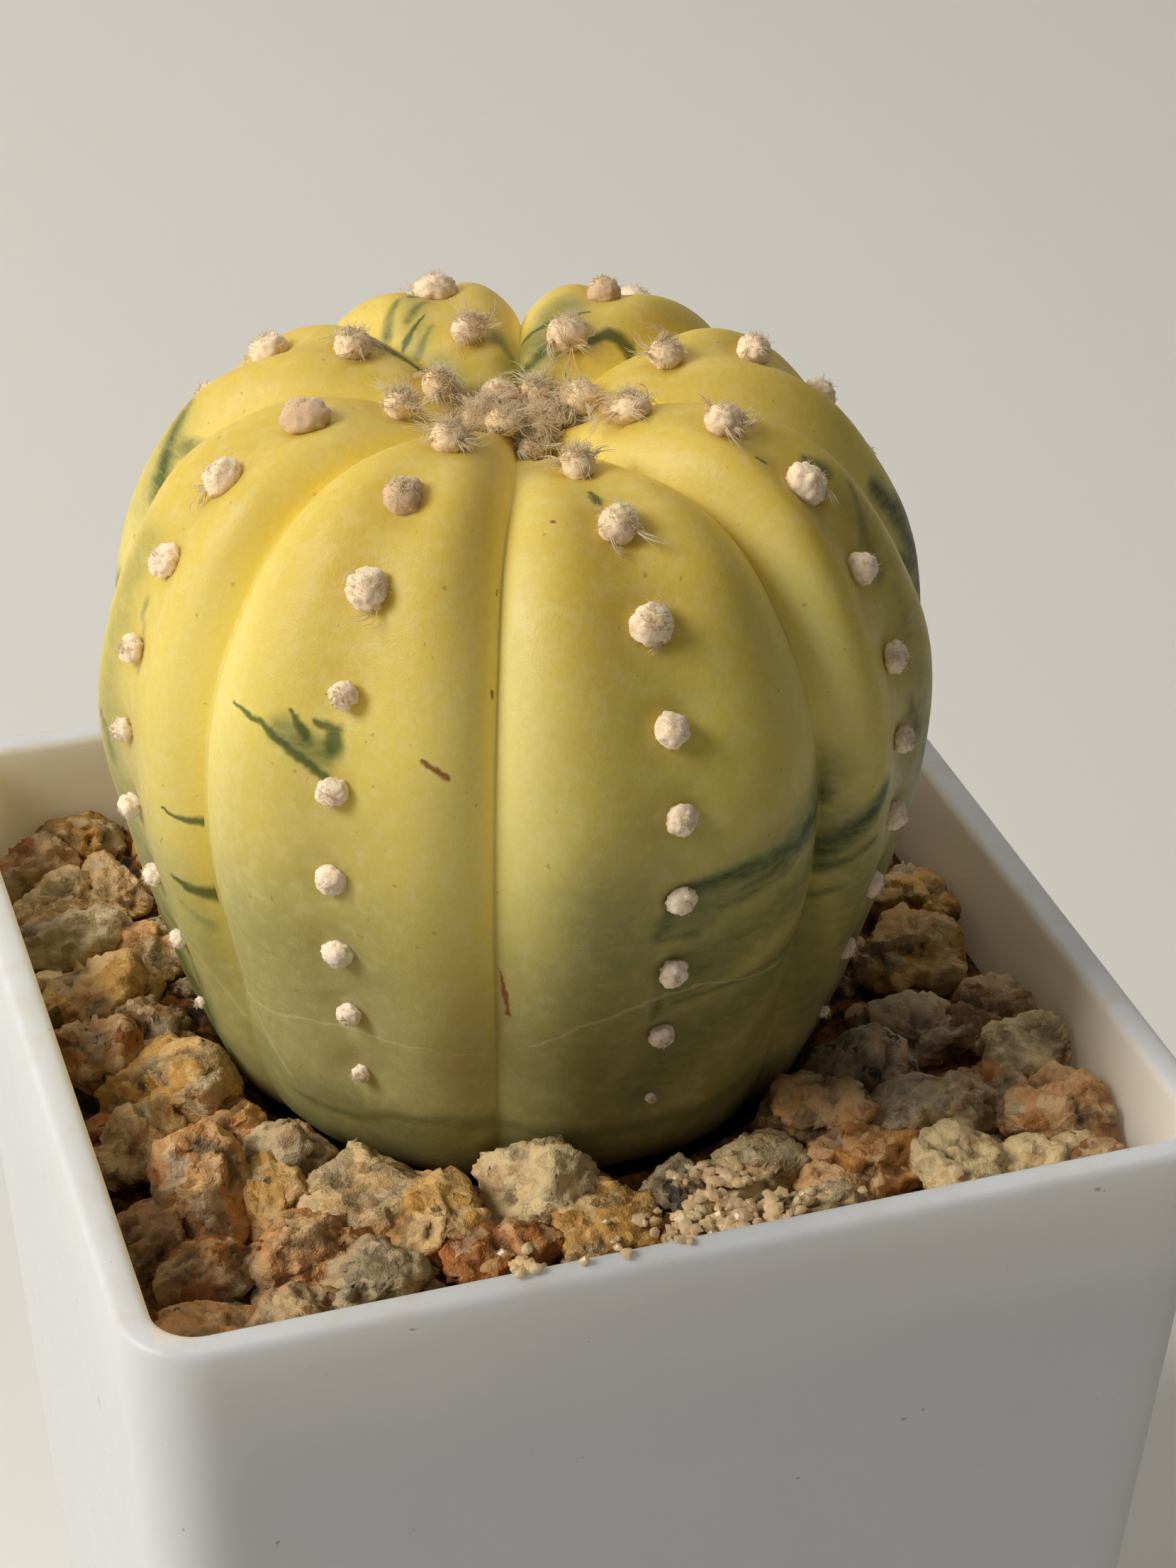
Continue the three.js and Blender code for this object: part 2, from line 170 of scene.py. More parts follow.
# Finishes of the materials: values of their shaders.
SKIN_FINISH = {
    "Specular IOR Level": 0.3,
    "Subsurface Radius": (1.0, 0.76, 0.3),
    "Subsurface Scale": 5 * MM,
}
WOOL_FINISH = {
    "Roughness": 0.95,
    "Subsurface Weight": 1.0,
    "Subsurface Radius": (1.0, 0.97, 0.92),
    "Subsurface Scale": 0.5 * MM,
    "Sheen Weight": 0.6,
    "Sheen Roughness": 0.5,
}
SAND_FINISH = {
    "Roughness": 0.3,
    "Subsurface Weight": 0.8,
    "Subsurface Radius": (1.0, 0.96, 0.88),
    "Subsurface Scale": 1.0 * MM,
}
PLASTIC_FINISH = {
    "Subsurface Weight": 0.6,
    "Subsurface Radius": (1.0, 0.85, 0.65),
    "Subsurface Scale": 6 * MM,
}
HAIR_TRANSLUCENCY = 0.45
FINE_GRAIN_RATIO = 3.7
FINE_GRAIN_SHARE = 0.4
FIBRE_STRETCH = (1.0, 0.3, 1.0)
SMALL_FACE_SHARE = 0.5
STONE_GRAIN_SHARE = 0.18
STONE_WOBBLE = 0.9 * MM
# Heights in metres between which dust lies on the pot's rim.
RIM_DUST_LEVELS = (0.0792, 0.0799)
# Heights in metres between which each zone of the flesh comes in.
LOW_FLESH_LEVELS = (0.112, 0.082)
BAND_LEVELS = (0.086, 0.106)
BAND_FADE_LEVELS = (0.119, 0.11)
GLOW_LEVELS = (0.078, 0.096)
AMBER_LEVELS = (0.106, 0.117)
CREST_LEVELS = (0.106, 0.092)
FOOT_LEVELS = (0.082, 0.072)
LEVEL_WANDER = 0.02
# How much of the flesh each zone or mark covers at most.
LOW_LEFT_LIGHT_SHARE = 0.6
SIDE_SHARE = 0.75
BAND_SHARE = 0.62
AMBER_SHARE = 0.45
MOTTLE_SHARE = 0.2
STAIN_SHARE = 0.55
CORE_SHARE = 0.95
DOT_SHARE = 0.35
FINE_STREAK_SHARE = 0.82
CREASE_SHARE = 0.26
FOOT_SHARE = 0.45
GROOVE_LINE_SHARE = 0.2
SCAR_SHARE = 0.9
CREASE_DENT = 0.5
# How the streaks' edges and the fine strokes are drawn.
STREAK_STRETCH = (1.0, 1.0, 2.4)
FIBRE_AMOUNT = 1.5
STROKE_JITTER = 0.5
STROKE_EDGE = (1.8, 0.4)

# Noise of the materials: waves per metre, then detail and roughness. Edges say where a mask starts and
# where it is full, a grain is its waves per metre and its share, a sheen is two noise levels and the
# roughness at each, and a bump is a distance in millimetres and a strength.
MOTTLE_NOISE = (900.0, 4.0)
MOTTLE_EDGE = (0.42, 0.7)
BROAD_NOISE = (90.0, 2.0)
RAGGED_NOISE = (620.0, 5.0, 0.7)
STAIN_EDGE = (0.0, 0.6)
CORE_EDGE = (0.35, 1.2)
JITTER_NOISE = (1400.0, 1.0)
DOT_NOISE = (1900.0, 1.0, 0.3)
DOT_EDGE = (0.76, 0.8)
GROOVE_BAND = (0.45, 0.95)
GROOVE_LINE = (0.985, 1.0)
BAND_FADE = (0.3, 1.0)
GLOW_FADE = (0.1, 0.6)
AMBER_REACH = (1.0, 0.4, 0.4, 1.0)
CREST_REACH = (0.5, 0.0)
CREST_FADE = (0.1, 0.4)
SKIN_GRAIN = (2600.0, 0.24)
SKIN_SHEEN_SCALE = 400.0
SKIN_SHEEN = (0.3, 0.7, 0.36, 0.52)
SKIN_BUMP = (0.1, 0.5)
WOOL_SHADE_NOISE = (1900.0, 4.0, 0.7)
WOOL_SHADE_EDGE = (0.3, 0.5)
WOOL_GRAIN = (4200.0, 0.36)
WOOL_NOISE = (3400.0, 4.0, 0.7)
WOOL_BUMP = (0.1, 0.6)
HAIR_FINISH = {"Roughness": 0.7}
HAIR_NOISE = (700.0, 2.0)
HAIR_EDGE = (0.2, 0.5)
STONE_FINISH = {"Roughness": 0.7}
WOBBLE_NOISE = (900.0, 3.0)
LARGE_FACE_SCALE = 430.0
SMALL_FACE_SCALE = 1300.0
MICA_NOISE = (560.0, 4.0)
RUST_NOISE = (330.0, 6.0, 0.7)
STONE_GRAIN = (2400.0, 0.6)
STONE_BUMP = (1.2, 0.9)
STONE_SHEEN = (0.7, 0.76, 0.62, 0.3)
MATT_FINISH = {"Roughness": 0.95}
CRUMB_NOISE = (800.0, 4.0)
CRUMB_EDGE = (0.35, 0.7)
BED_GRAIN = (2200.0, 0.8)
BED_BUMP = 0.5
SAND_NOISE = (700.0, 2.0)
SAND_EDGE = (0.42, 0.66)
SAND_CRYSTAL_SHARE = 0.5
INNER_LIGHT_EDGE = ((WALL - 0.5) * MM, (WALL - 0.1) * MM)
INNER_LIGHT_SHARE = 0.6
SMUDGE_NOISE = (45.0, 5.0, 0.7)
SMUDGE_EDGE = (0.55, 0.8)
SMUDGE_SHARE = 0.1
SPECK_NOISE = (1100.0, 1.0, 0.3)
SPECK_EDGE = (0.795, 0.82)
SPECK_SHARE = 0.5
RIM_DUST_SHARE = 0.25
DUST_NOISE = (300.0, 4.0)
DUST_EDGE = (0.45, 0.7)
PLASTIC_GRAIN = (3000.0, 0.03)
PLASTIC_SHEEN_NOISE = (120.0, 4.0)
PLASTIC_SHEEN = (0.3, 0.7, 0.34, 0.48)
PLASTIC_BUMP = (0.02, 0.4)
FIBRE_NOISE = (900.0, 4.0)
FIBRE_EDGE = (0.5, 0.75)
SOIL_GRAIN = (1500.0, 0.8)
SOIL_BUMP = 0.8
FLOOR_FINISH = {"Roughness": 0.8}
FLOOR_GRAIN = (600.0, 0.03)
# Layers of the stones' paint: where each comes in, where it is full and its share.
CRYSTAL_LAYER = (0.5, 0.9, 0.4)
QUARTZ_LAYER = (0.74, 0.8, 0.6)
RUST_LAYER = (0.5, 0.66, 0.6)
# Painted highlight on random small faces of the stones.
FACET_HIGHLIGHT_LAYER = (0.5, 1.0, 0.4)
SHADOW_LAYER = (0.6, 1.0, 0.22)
MICA_LAYER = (0.7, 0.74, 0.85)
HOLLOW_LAYER = (0.05, -0.35, 0.62)

# How the grit varies: tone and mica from stone to stone, and the sand's shape and how it lies.
FRACTAL = (0.9, 2.1)
STONE_NOISE_REACH = 50
STONE_TONES = (0.9, 1.25)
MICA_SPREAD = (-0.12, 0.06)
SAND_STRETCH = (0.7, 1.2)
SAND_CORNERS = (-0.32, 0.22)
ABOVE_BED = 20
SAND_UNEVEN = 0.3
SAND_REST = 0.4
RIM_REST = 0.6

# Wool
CUSHION_SIZES = (1.25, 1.28, 1.25, 1.02, 0.95, 0.92, 0.88, 0.8, 0.7, 0.42)
TINY_CUSHION = 0.34
CUSHION_FACES = 12
CUSHION_SPREAD = (0.92, 1.1)
CUSHION_ACROSS = (0.82, 1.15)
CUSHION_ALONG = (0.85, 1.1)
CUSHION_HEIGHT = 0.8
CUSHION_LIFT = 0.2
WOOL_NOISE_REACH = 40
LUMPS = ((1.6, 0.8), (3.4, 0.7), (5.6, 0.32))
SUEDE_CRUMPLE = 0.16
OLD_CRUMPLE = 0.22
YOUNG_CRUMPLE = 0.13
YOUNG_AREOLES = 3
OLD_AREOLES = 7
WISP_HAIRS = 9
WISP_CLUMPS = 11
WISP_RADII = (0.03, 0.048)
WISP_SPREAD = 0.6
WISP_FALL = (0, 0, -0.8)
WISP_ROOT = 0.75
WISP_LIFT = 0.35
WISP_OUTWARD = 0.45
WISP_ROOT_STRAY = 0.07
WISP_STRAY = 0.1
WISP_SHARES = (0.6, 1.1)
WISP_LENGTHS = (1.0, 2.6)
WISP_FADE = 1.5
WISP_CURL = 0.5
WISP_DROOP = 0.14
FUZZ_HAIRS = 260
NAP_HAIRS = 95
FUZZ_RADII = (0.022, 0.036)
FUZZ_STEPS = 4
FUZZ_SPREAD = 0.62
FUZZ_ROOT = 0.84
FUZZ_LIFT = 0.16
FUZZ_STANDING = (0.15, 0.75)
FUZZ_STRAY = 0.65
FUZZ_LENGTHS = (0.75, 0.95)
FUZZ_CURL = 0.65
FUZZ_DROOP = 0.06
FUZZ_SHARES = (0.5, 1.1)
SUEDE_LENGTH = 0.5
NAP_SHORTENING = 0.07
SHORTEST_NAP = 0.35
NAP_STEPS = 3
CROWN_HAIRS = 40
CROWN_TUFTS = 44
TUFT_HAIRS = 12
CROWN_RADII = (0.036, 0.062)
CROWN_STEPS = 6
CROWN_FELT_RADIUS = 2.0
CROWN_WOOL_RADIUS = 4.4
CROWN_PLACES = (0, 3.6, 8.2)
CROWN_HEIGHTS = (34.8, 35.6, 37.0)
FELT_SPREAD = 0.8
FELT_RISE = (0, 0, 0.7)
FELT_LENGTHS = (1.2, 3.2)
FELT_CURL = 0.5
TUFT_SPREAD = (0.9, 0.9, 0.3)
TUFT_RISE = (0, 0, 0.4)
TUFT_ROOT_STRAY = 0.07
TUFT_STRAY = 0.09
TUFT_LENGTHS = (1.6, 3.8)
TUFT_SHARES = (0.7, 1.1)
TUFT_CURL = 0.4
CROWN_DROOP = 0.05
BUD_PLACES = (2.4, 3.1, 2.0, 1.6, 3.4, 0.9, 2.4, 3.2)
BUD_RADIUS = 1.0
MIDDLE_BUDS = 5
MIDDLE_BUD_PLACE = 1.5
MIDDLE_BUD_RADIUS = 0.82
CROWN_LEVEL = POT_HEIGHT + 34.7
HAIR_LIMIT = POT_HEIGHT + 42.4
# How a hair's own turn stands to its bundle's, and how much of a turn carries on at each step.
OWN_TURN = 0.2
TURN_KEPT = 0.6
TURN_NEW = 0.8

# Camera: azimuth, elevation and roll in degrees, the point it faces and its distance from it
CAMERA_ANGLES = (-18.71, 32.44, 0.93)
CAMERA_TARGET = (9.04, 16.25, 80)
CAMERA_DISTANCE = 250.42
SENSOR = 36
LENS = 80.56

# Lights, in metres
KEY_PLACE = (-0.7, 0.0, 0.63)
KEY_SIZE = 0.45
KEY_COLOUR = (1.0, 0.975, 0.93)
BACK_PLACE = (0.1, 0.62, 0.75)
BACK_SIZE = 0.7
BACK_COLOUR = (1.0, 0.97, 0.92)
SKY_COLOUR = (0.96, 0.97, 1.0)
LIGHT_TARGET = (0, 0, 0.09)

# Backdrop, in metres: half width, nearest edge, start and radius of the curve, top
FLOOR_REACH = 3.0
CURVE_PLACE = 0.35
CURVE_RADIUS = 0.25
CURVE_STEPS = 12
BACKDROP_TOP = 1.4

# The crest of a rib from the crown to the root's tip: radius, height above the rim, depth of the
# groove beside it.
CREST = (
    (0, 34.4, 0),
    (3.6, 35.9, 0.9),
    (8.2, 38.0, 1.9),
    (14.0, 38.3, 2.5),
    (19.5, 35.3, 2.6),
    (23.2, 30.6, 2.5),
    (25.7, 25.0, 2.4),
    (26.6, 19.0, 2.35),
    (26.3, 13.2, 2.2),
    (25.2, 8.2, 1.9),
    (23.8, 2.8, 1.4),
    (22.4, -3.2, 0.8),
    (19.8, -8.6, 0.4),
    (13.5, -12.0, 0.1),
    (6.5, -14.0, 0),
    (3.2, -18.5, 0),
    (2.2, -27.0, 0),
    (0, -36.0, 0),
)

# Rib numbers, anticlockwise seen from above: front left, front right, right, back right, two at the
# back, back left, left.
FRONT_LEFT, FRONT_RIGHT, RIGHT, BACK_RIGHT, REAR_RIGHT, REAR_LEFT, BACK_LEFT, LEFT = range(8)

# For each rib: how much its top stands above the common line, how far its crest and the groove after
# it are turned, how far along the crest its first areole sits, and the distance between areoles.
RIBS = (
    (0.6, -0.8, -2, 11.3, 6.15),
    (-1.2, 0, 5, 10.9, 6.45),
    (0, -2, 0, 8.6, 6.2),
    (0, 0, 0, 5.0, 6.15),
    (0, 0, 0, 9.0, 6.15),
    (0, 0, 0, 3.4, 6.15),
    (0, 0, 0, 6.2, 6.15),
    (0, 2, -3.5, 8.8, 6.15),
)

# How deep the groove after each rib is, as a share of the common depth.
GROOVE_SHARES = (0.74, 1.0, 1.0, 1.0, 1.0, 1.0, 1.0, 0.8)

# Paints of single stones and the shades that vary inside them.
RUST = "A8662C"
ORANGE = "D08C42"
OCHRE = "CE9C4E"
TAN = "D6AE74"
SALMON = "D29A60"
CREAM = "E8CC94"
QUARTZ = "BEA680"
GREY = "A6906C"
BROWN = "946A3C"

# Areoles whose wool has worn to a smooth tan nap: rib and order from the crown.
SUEDE_AREOLES = ((FRONT_LEFT, 1), (LEFT, 1), (REAR_RIGHT, 1))

# Areoles that have hardly any wool left.
TINY_AREOLES = ((FRONT_RIGHT, 8),)

# The stones seen at the front and the sides: x, y, length, width, turn in degrees, paint.
STONES = (
    (-29, 27, 8, 6, 20, RUST),
    (-25, 30.5, 5, 6, 80, OCHRE),
    (-28.5, 22.5, 9, 6, 15, TAN),
    (-24.6, 23.5, 5, 8, 10, TAN),
    (-28, 17.5, 10, 6, 0, QUARTZ),
    (-24.2, 15.5, 5, 8, 10, SALMON),
    (-28, 11, 9.5, 9, 30, OCHRE),
    (-29.5, 3, 7, 8, 0, RUST),
    (-25.6, 6, 7, 6, 40, BROWN),
    (-25.4, -0.5, 10, 9, -20, OCHRE),
    (-29, -7, 7.5, 6.5, 10, TAN),
    (-23.5, -6.5, 8.5, 5.5, 10, SALMON),
    (-20, -10, 6.5, 6.5, 0, QUARTZ),
    (-26.5, -12.6, 8.5, 9, 0, SALMON),
    (-22, -14.2, 5.5, 9, 5, OCHRE),
    (-30, -15.5, 5, 6, 0, RUST),
    (-16.5, -15.2, 10, 11, 35, TAN),
    (-21, -19.6, 9, 8, 20, SALMON),
    (-27.3, -20, 8, 5.5, 10, RUST),
    (-28.8, -25, 7, 6, 0, SALMON),
    (-18, -23.6, 9, 6, 15, GREY),
    (-13.6, -20, 8, 9, 30, OCHRE),
    (-23, -26, 7, 6, 0, BROWN),
    (-9.4, -23.2, 8.5, 6, -15, RUST),
    (-5, -18.8, 8.5, 8, 0, CREAM),
    (-2.4, -23, 7, 9, -15, OCHRE),
    (-15.4, -27.5, 9, 4.5, 15, CREAM),
    (8, -20.8, 9, 6, 10, CREAM),
    (9, -26, 10.5, 6, 10, CREAM),
    (13, -23.4, 5, 7, 10, SALMON),
    (14, -17, 9.5, 8, 10, SALMON),
    (16, -22.4, 9.5, 6.5, -5, ORANGE),
    (18.4, -12.4, 8.5, 8, 0, GREY),
    (21.4, -18, 12, 6.5, 5, QUARTZ),
    (20.8, -24, 7.5, 8.5, 40, CREAM),
    (24.4, -9.4, 9.5, 6, -20, QUARTZ),
    (26.6, -17.6, 6, 8, 0, RUST),
    (29.4, -21.6, 9, 8, 10, SALMON),
    (25.6, -26.4, 10, 6, 5, CREAM),
    (30, -15.6, 8, 7, -10, CREAM),
    (29.4, -9.8, 8, 7.5, 0, BROWN),
    (26.6, -2, 8.5, 9, 20, OCHRE),
    (29.8, 4, 7, 7, 0, OCHRE),
    (26.4, 10, 6, 7, 0, BROWN),
    (17.6, -28, 9, 4.5, 0, CREAM),
    (29.4, -27.6, 6, 6, 0, BROWN),
    (3.2, -20.6, 6, 5, 0, GREY),
    (2.6, -26.4, 7, 6, 0, CREAM),
    (-8.6, -28, 6.5, 4.5, 0, TAN),
)
# Patches of sand: x, y, spread across and along, number of grains.
SAND_SPOTS = (
    (-9.5, -26.6, 2.2, 1.6, 46),
    (4.2, -26.3, 5.4, 3.8, 190),
    (5.0, -22.4, 2.6, 2.0, 60),
    (-15.5, -25.5, 0.5, 0.5, 2),
    (16.0, -27.5, 5.0, 1.0, 14),
    (-3.5, -28.4, 3.0, 1.0, 16),
)
# Single grains on the front rim: x, y, radius.
RIM_GRAINS = (
    (-11.5, -33.6, 0.5),
    (-10.5, -33.4, 0.44),
    (-7.6, -33.6, 0.4),
    (-5.0, -33.7, 0.42),
    (-5.3, -33.0, 0.3),
    (-1.6, -33.4, 0.42),
    (-1.0, -33.7, 0.3),
)
FILLER_PAINTS = (RUST, OCHRE, TAN, SALMON, CREAM, GREY, BROWN, QUARTZ)


def paint(code):
    """A linear colour from a six-digit sRGB code."""
    shades = [int(code[i : i + 2], 16) / 255 for i in (0, 2, 4)]
    return tuple(s / 12.92 if s <= 0.04045 else ((s + 0.055) / 1.055) ** 2.4 for s in shades)


def rgba(colour):
    """A colour with full alpha, as a colour socket takes it."""
    return (*colour, 1.0)


def seeded_random(seed):
    """Draws the same numbers between 0 and 1 as the part's own seeded rule."""
    state = seed
    while True:
        state = (state * 1664525 + 1013904223) % 4294967296
        yield state / 4294967296


def draw_between(draw, start, spread):
    """The next seeded number, from a start and over a spread."""
    return start + next(draw) * spread


def smoothstep(value, low, high):
    """Rises smoothly from 0 at the low limit to 1 at the high one."""
    share = np.clip((value - low) / (high - low), 0, 1)
    return share * share * (3 - 2 * share)


def lerp(a, b, share):
    """The value a share of the way from a to b."""
    return a + (b - a) * share


# Mesh helpers

def add_piece(name, points, faces, material, node, smooth=True):
    """Makes a mesh piece from points in millimetres that rides on the part's one body."""
    mesh = bpy.data.meshes.new(name)
    mesh.from_pydata((np.asarray(points) * MM).tolist(), [], faces)
    mesh.polygons.foreach_set("use_smooth", [smooth] * len(mesh.polygons))
    mesh.materials.append(material)
    mesh.validate()
    piece = bpy.data.objects.new(name, mesh)
    bpy.context.scene.collection.objects.link(piece)
    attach(piece, "root")
    if node:
        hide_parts(node)
    return piece


def add_mask(piece, name, values):
    """Stores one number for each point of a piece."""
    attribute = piece.data.attributes.new(name, "FLOAT", "POINT")
    attribute.data.foreach_set("value", np.asarray(values, np.float32))


def add_paint(piece, name, colours):
    """Stores one colour for each point of a piece."""
    attribute = piece.data.attributes.new(name, "FLOAT_COLOR", "POINT")
    full = np.ones((len(colours), 4), np.float32)
    full[:, :3] = colours
    attribute.data.foreach_set("color", full.ravel())


def loft_faces(rows, columns, start_pole, end_pole):
    """Faces that join rings from the first to the last and close both ends at a point."""
    faces = []
    last = (rows - 1) * columns
    for column in range(columns):
        after = (column + 1) % columns
        faces.append((start_pole, after, column))
        faces.append((end_pole, last + column, last + after))
        for row in range(rows - 1):
            a = row * columns + column
            b = row * columns + after
            faces.append((a, b, b + columns, a + columns))
    return faces


def cube_sphere(count):
    """Even directions over a sphere, from a cube with count faces along each edge, and its faces."""
    steps = np.tan(np.linspace(-1, 1, count + 1) * math.pi / 4)
    seen = {}
    directions = []
    faces = []

    def point(axis, side, i, j):
        """The number of the point at a place on the cube, which is new or shared with a neighbour."""
        place = [0.0, 0.0, 0.0]
        place[axis] = side
        place[(axis + 1) % 3] = steps[i]
        place[(axis + 2) % 3] = steps[j]
        key = tuple(round(value, 6) for value in place)
        if key not in seen:
            seen[key] = len(directions)
            directions.append(np.array(place) / np.linalg.norm(place))
        return seen[key]

    for axis in range(3):
        for side in (-1.0, 1.0):
            for i in range(count):
                for j in range(count):
                    corners = ((i, j), (i + 1, j), (i + 1, j + 1), (i, j + 1))
                    face = [point(axis, side, *corner) for corner in corners]
                    faces.append(face if side > 0 else face[::-1])
    return np.array(directions), faces


def gather(parts):
    """Joins (points, faces) parts into one list of points and one of faces."""
    points = np.concatenate([part[0] for part in parts])
    faces = []
    start = 0
    for part_points, part_faces in parts:
        faces.extend([tuple(start + index for index in face) for face in part_faces])
        start += len(part_points)
    return points, faces


def make_strands(paths, radii, sides=3):
    """Thin tapering tubes along paths: paths is strands x points x 3, radii is one for each strand."""
    count, steps, _ = paths.shape
    along = np.gradient(paths, axis=1)
    along /= np.linalg.norm(along, axis=2, keepdims=True) + 1e-9
    helper = np.where(np.abs(along[..., 2:]) < 0.9, [0, 0, 1.0], [1.0, 0, 0])
    across = np.cross(along, helper)
    across /= np.linalg.norm(across, axis=2, keepdims=True) + 1e-9
    third = np.cross(along, across)
    taper = np.linspace(1, 0.25, steps)[None, :, None]
    rings = []
    for side in range(sides):
        angle = TURN * side / sides
        offset = across * math.cos(angle) + third * math.sin(angle)
        rings.append(paths + offset * radii[:, None, None] * taper)
    points = np.stack(rings, axis=2).reshape(-1, 3)
    faces = []
    for strand in range(count):
        base = strand * steps * sides
        for step in range(steps - 1):
            for side in range(sides):
                a = base + step * sides + side
                b = base + step * sides + (side + 1) % sides
                faces.append((a, b, b + sides, a + sides))
        end = base + (steps - 1) * sides
        faces.append(tuple(base + side for side in reversed(range(sides))))
        faces.append(tuple(end + side for side in range(sides)))
    return points, faces


def broken_face(spot, size):
    """A height that runs flat and tilted over each broken face and changes from face to face."""
    scaled = spot / size
    centre = noise.voronoi(scaled)[1][0]
    tilt = noise.cell_vector(centre * 5.7) - Vector((0.5, 0.5, 0.5))
    return tilt.dot(scaled - centre)


# The plant's skin

def crest_line():
    """The crest as a dense centripetal spline: points of radius, height and groove depth."""
    crest = np.array(CREST, float)
    padded = np.vstack([2 * crest[0] - crest[1], crest, 2 * crest[-1] - crest[-2]])
    share = np.linspace(0, 1, 120, endpoint=False)[:, None]
    line = []
    for i in range(1, len(padded) - 2):
        p0, p1, p2, p3 = padded[i - 1 : i + 3]
        d0, d1, d2 = (np.linalg.norm(b - a) ** 0.5 for a, b in ((p0, p1), (p1, p2), (p2, p3)))
        start = ((p1 - p0) / d0 - (p2 - p0) / (d0 + d1) + (p2 - p1) / d1) * d1
        end = ((p2 - p1) / d1 - (p3 - p1) / (d1 + d2) + (p3 - p2) / d2) * d1
        square = 3 * (p2 - p1) - 2 * start - end
        cube = 2 * (p1 - p2) + start + end
        line.append(p1 + start * share + square * share**2 + cube * share**3)
    line.append(crest[-1:])
    return np.vstack(line)


CREST_LINE = crest_line()
CREST_ALONG = np.concatenate([[0], np.cumsum(np.linalg.norm(np.diff(CREST_LINE, axis=0), axis=1))])
CREST_TANGENT = np.gradient(CREST_LINE, CREST_ALONG, axis=0)
CREST_LENGTH = CREST_ALONG[-1]


def crest_at(along):
    """Radius, height, groove depth and outward direction of the crest at a distance from the crown."""
    radius, height, depth = (np.interp(along, CREST_ALONG, CREST_LINE[:, k]) for k in range(3))
    slope_r, slope_h = (np.interp(along, CREST_ALONG, CREST_TANGENT[:, k]) for k in range(2))
    size = np.hypot(slope_r, slope_h)
    return radius, height, np.maximum(depth, 0), -slope_h / size, slope_r / size


def along_at_height(height):
    """How far along the crest it passes under a height."""
    outer = CREST_ALONG > CREST_LENGTH / 2
    return CREST_ALONG[outer][np.argmax(CREST_LINE[outer, 1] <= height)]


def wideness(radius):
    """0 in the crown and 1 where the ribs have their full width."""
    return smoothstep(radius, ROUNDNESS_FROM, ROUNDNESS_TO)


def lobe_at(across, radius):
    """How far a rib's section falls below its crest, as a share of the groove's depth."""
    wide = wideness(radius)
    power = lerp(CROWN_ROUNDNESS, FLANK_ROUNDNESS, wide)
    fall = 1 - (1 - (RIB_FULLNESS * np.abs(across)) ** power) ** (1 / power)
    whole = 1 - (1 - RIB_FULLNESS**power) ** (1 / power)
    return fall / whole - FLANK_SWELL * wide * np.sin(math.pi * np.abs(across)) ** 2


def skin_point(along, rib, across, grow=0.0):
    """Points of the skin at distances along the crest, rib numbers and places across the rib."""
    rises, turns, groove_turns = (np.array([rib_row[k] for rib_row in RIBS], float) for k in range(3))
    radius, height, depth, out_r, out_h = crest_at(along)
    shares = np.array(GROOVE_SHARES)
    share = np.where(across < 0, shares[(rib - 1) % RIB_COUNT], shares[rib])
    inward = depth * share * lobe_at(across, radius) - grow
    reach = np.maximum(radius - out_r * inward, 0)
    level = height - out_h * inward
    before = groove_turns[(rib - 1) % RIB_COUNT] * across * (across - 1)
    after = groove_turns[rib] * across * (across + 1)
    turn = turns[rib] * (1 - across**2) + (before + after) / 2
    degrees = FIRST_GROOVE + RIB_ANGLE * (rib - 0.5 + across / 2) + turn * wideness(radius)
    angle = np.radians(degrees)
    neighbour = np.where(across < 0, rib - 1, rib + 1) % RIB_COUNT
    share = 0.5 * across**2
    rise = lerp(rises[rib], rises[neighbour], share) * smoothstep(level, RISE_FROM, RISE_TO)
    x = np.sin(angle) * reach
    y = AXIS_Y - np.cos(angle) * reach
    return np.stack([x, y, POT_HEIGHT + level + rise], axis=-1)


def areole_places():
    """Every areole: its rib, distance along the crest, place, outward direction and order on the rib."""
    places = []
    for rib, (_, _, _, along, spacing) in enumerate(RIBS):
        order = 0
        while crest_at(along)[1] > AREOLE_LAST_LEVEL:
            height = float(crest_at(along)[1])
            place = skin_point(along, rib, 0.0)
            outward = skin_point(along, rib, 0.0, 1.0) - place
            places.append((rib, along, place, outward, order))
            along += spacing * (1 if height > AREOLE_LOW_LEVEL else AREOLE_LOW_SPACING)
            order += 1
    return places


# Markings of the skin

